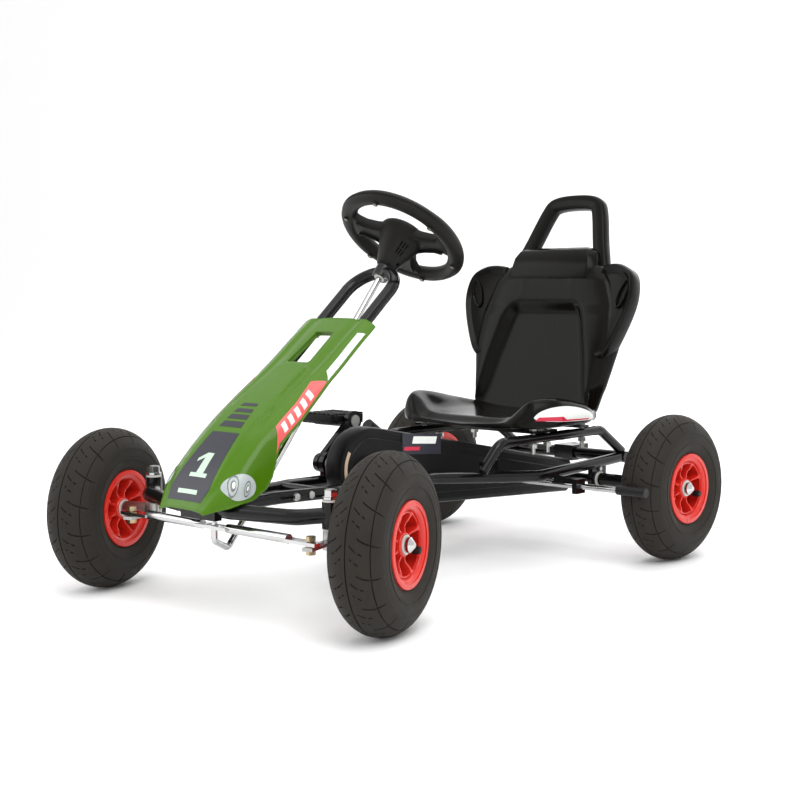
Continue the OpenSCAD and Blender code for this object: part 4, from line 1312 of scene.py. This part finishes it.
def makeGuard():
    g = guardSettings
    wall = g["wall"]

    def outlineAt(x, inset):
        return [(x, p.x, p.y) for p in guardOutline(inset)]

    for name, node, mid, edge, sign in (("guardOuter", "chain_guard_outer", 24.2, g["left"], 1),
                                        ("guardInner", "chain_guard_inner", 23.8, g["right"], -1)):
        # (depth inwards from the outer face, inset); the seam between the halves is the first and last
        rows = [outlineAt(mid, 0)]
        rows += [outlineAt(edge - sign * deep, inset) for deep, inset in
                 ((7, 0), (2.2, 2), (0, 7), (wall, 9), (wall + 2, 5), (9, wall))]
        rows += [outlineAt(mid, wall), rows[0]]
        shape = Shape().loft(rows, "guardPlastic", capped=False)
        for level in (outlineAt(edge, 7), outlineAt(edge - sign * wall, 9)):
            shape.add(level, [tuple(range(len(level)))], "guardPlastic")
        # raised centre field
        shape.loft([outlineAt(edge - sign * 0.5, 17), outlineAt(edge + sign * 1.6, 19)], "guardPlastic")
        guard = shape.object(name, 30)
        finishPiece(guard, "chassis", "black_plastic", node)
        if sign > 0:
            badge = [("charcoalFoil", [(-49, 245), (46, 237), (46, 202), (-49, 210)]),
                     ("whiteFoil", [(-22, 238), (36, 233), (32, 221), (-26, 226)]),
                     ("crimsonFoil", [(-44, 222), (-6, 219), (-8, 213), (-46, 216)])]
            printOn(guard, "guardBadge", badge, "chassis", "black_plastic", level=45.9)
            arc = [radians(148 + 6 * i) for i in range(11)]
            strip = [(crankPlace.y + reach * cos(a), crankPlace.z + reach * sin(a))
                     for reach, angles in ((59.5, arc), (53, arc[::-1])) for a in angles]
            printOn(guard, "guardStrip", [("strawFoil", strip)], "chassis", "black_plastic", level=44.3)


makeGuard()
print("guard is made")


# pedals

pedalSettings = {"depth": 76, "low": -3, "high": 9.5, "corner": 9, "boss": 12, "bore": 6.1,
                 "ribs": 9, "rib": 3, "cell": 11.4}


def makePedals():
    p = pedalSettings
    for side in ("left", "right"):
        low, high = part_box(side + "_pedal")
        hub = Vector(joints[side + "_pedal_spin"]["pos_m"]) / mm
        half = (high[0] - low[0]) / 2 / mm
        place = Matrix.Translation(((high[0] + low[0]) / 2 / mm, hub.y, hub.z))
        outline = roundedOutline(2 * half, p["depth"], p["corner"])
        block = Shape().plate(outline, p["low"], p["high"], "guardPlastic", place).object(side + "Pedal")
        bevel(block, 1.6, 3)
        boss = [(p["bore"], -half), (p["boss"] - 1.5, -half), (p["boss"], 1.5 - half), (p["boss"], half - 1.5),
                (p["boss"] - 1.5, half), (p["bore"], half)]
        joinPieces(block, Shape().lathe(boss, "guardPlastic", place @ quarter, 48).object("boss"))
        line = bpy.data.curves.new("ribLine", "CURVE")
        line.dimensions = "3D"
        spline = line.splines.new("POLY")
        spline.points.add(1)
        reach = p["depth"] / 2 - 4
        spline.points[0].co = (0, -reach * mm, 0, 1)
        spline.points[1].co = (0, reach * mm, 0, 1)
        path = bpy.data.objects.new("ribLine", line)
        scene.collection.objects.link(path)
        rib = Shape()
        for cell in range(-3, 4):
            middle, thick = cell * p["cell"], p["rib"]
            rib.box((-thick / 2, middle - 4.6, 0), (thick / 2, middle + 4.6, thick), "guardPlastic")
        item = bevel(rib.object("ribItem"), 0.6, 2)
        for level, turn in ((p["high"] - 0.3, 0), (p["low"] + 0.3, pi)):
            values = {"Path": path, "Item": item, "Copies": p["ribs"], "Finish": materials["guardPlastic"]}
            onFace = place @ Matrix.Translation((0, 0, level)) @ Matrix.Rotation(turn, 4, "Y")
            joinPieces(block, runTree("ribs", pathTree, pathSockets, values, placed(onFace)))
        bpy.data.objects.remove(path)
        bpy.data.objects.remove(item)
        finishPiece(block, "pedal_" + side, "black_plastic", side + "_pedal")


makePedals()
print("pedals are made")


# everything that keeps its CAD shape

dress("blackPaint", "main_frame_left", "main_frame_right", "front_crossmember", "rear_crossmember",
      "front_beam", "seat_supports", "steering_hoop", "brake_guides", "rear_axle", "crankshaft", "seat_rails")
dress("nylon", "axle_bushes", "crank_bushes", "steering_bushes", "front_left_bushes", "front_right_bushes",
      "rear_left_bushes", "rear_right_bushes")
dress("zincPlate", "frame_bolts", "fairing_screws", "column_nut", "left_knuckle",
      "right_knuckle", "axle_pin", "pedal_spindles", "seat_screws")
dress("yellowZinc", "tie_rod_bolts")
dress("chrome", "steering_column", "tie_rod", "axle_caps", "left_knuckle_hardware", "right_knuckle_hardware",
      "brake_bar")
dress("oiledSteel", "chain", "axle_sprocket", "chainring", "steering_wheel_screws")
dress("softRubber", "brake_tips", "brake_grip")

print("done")
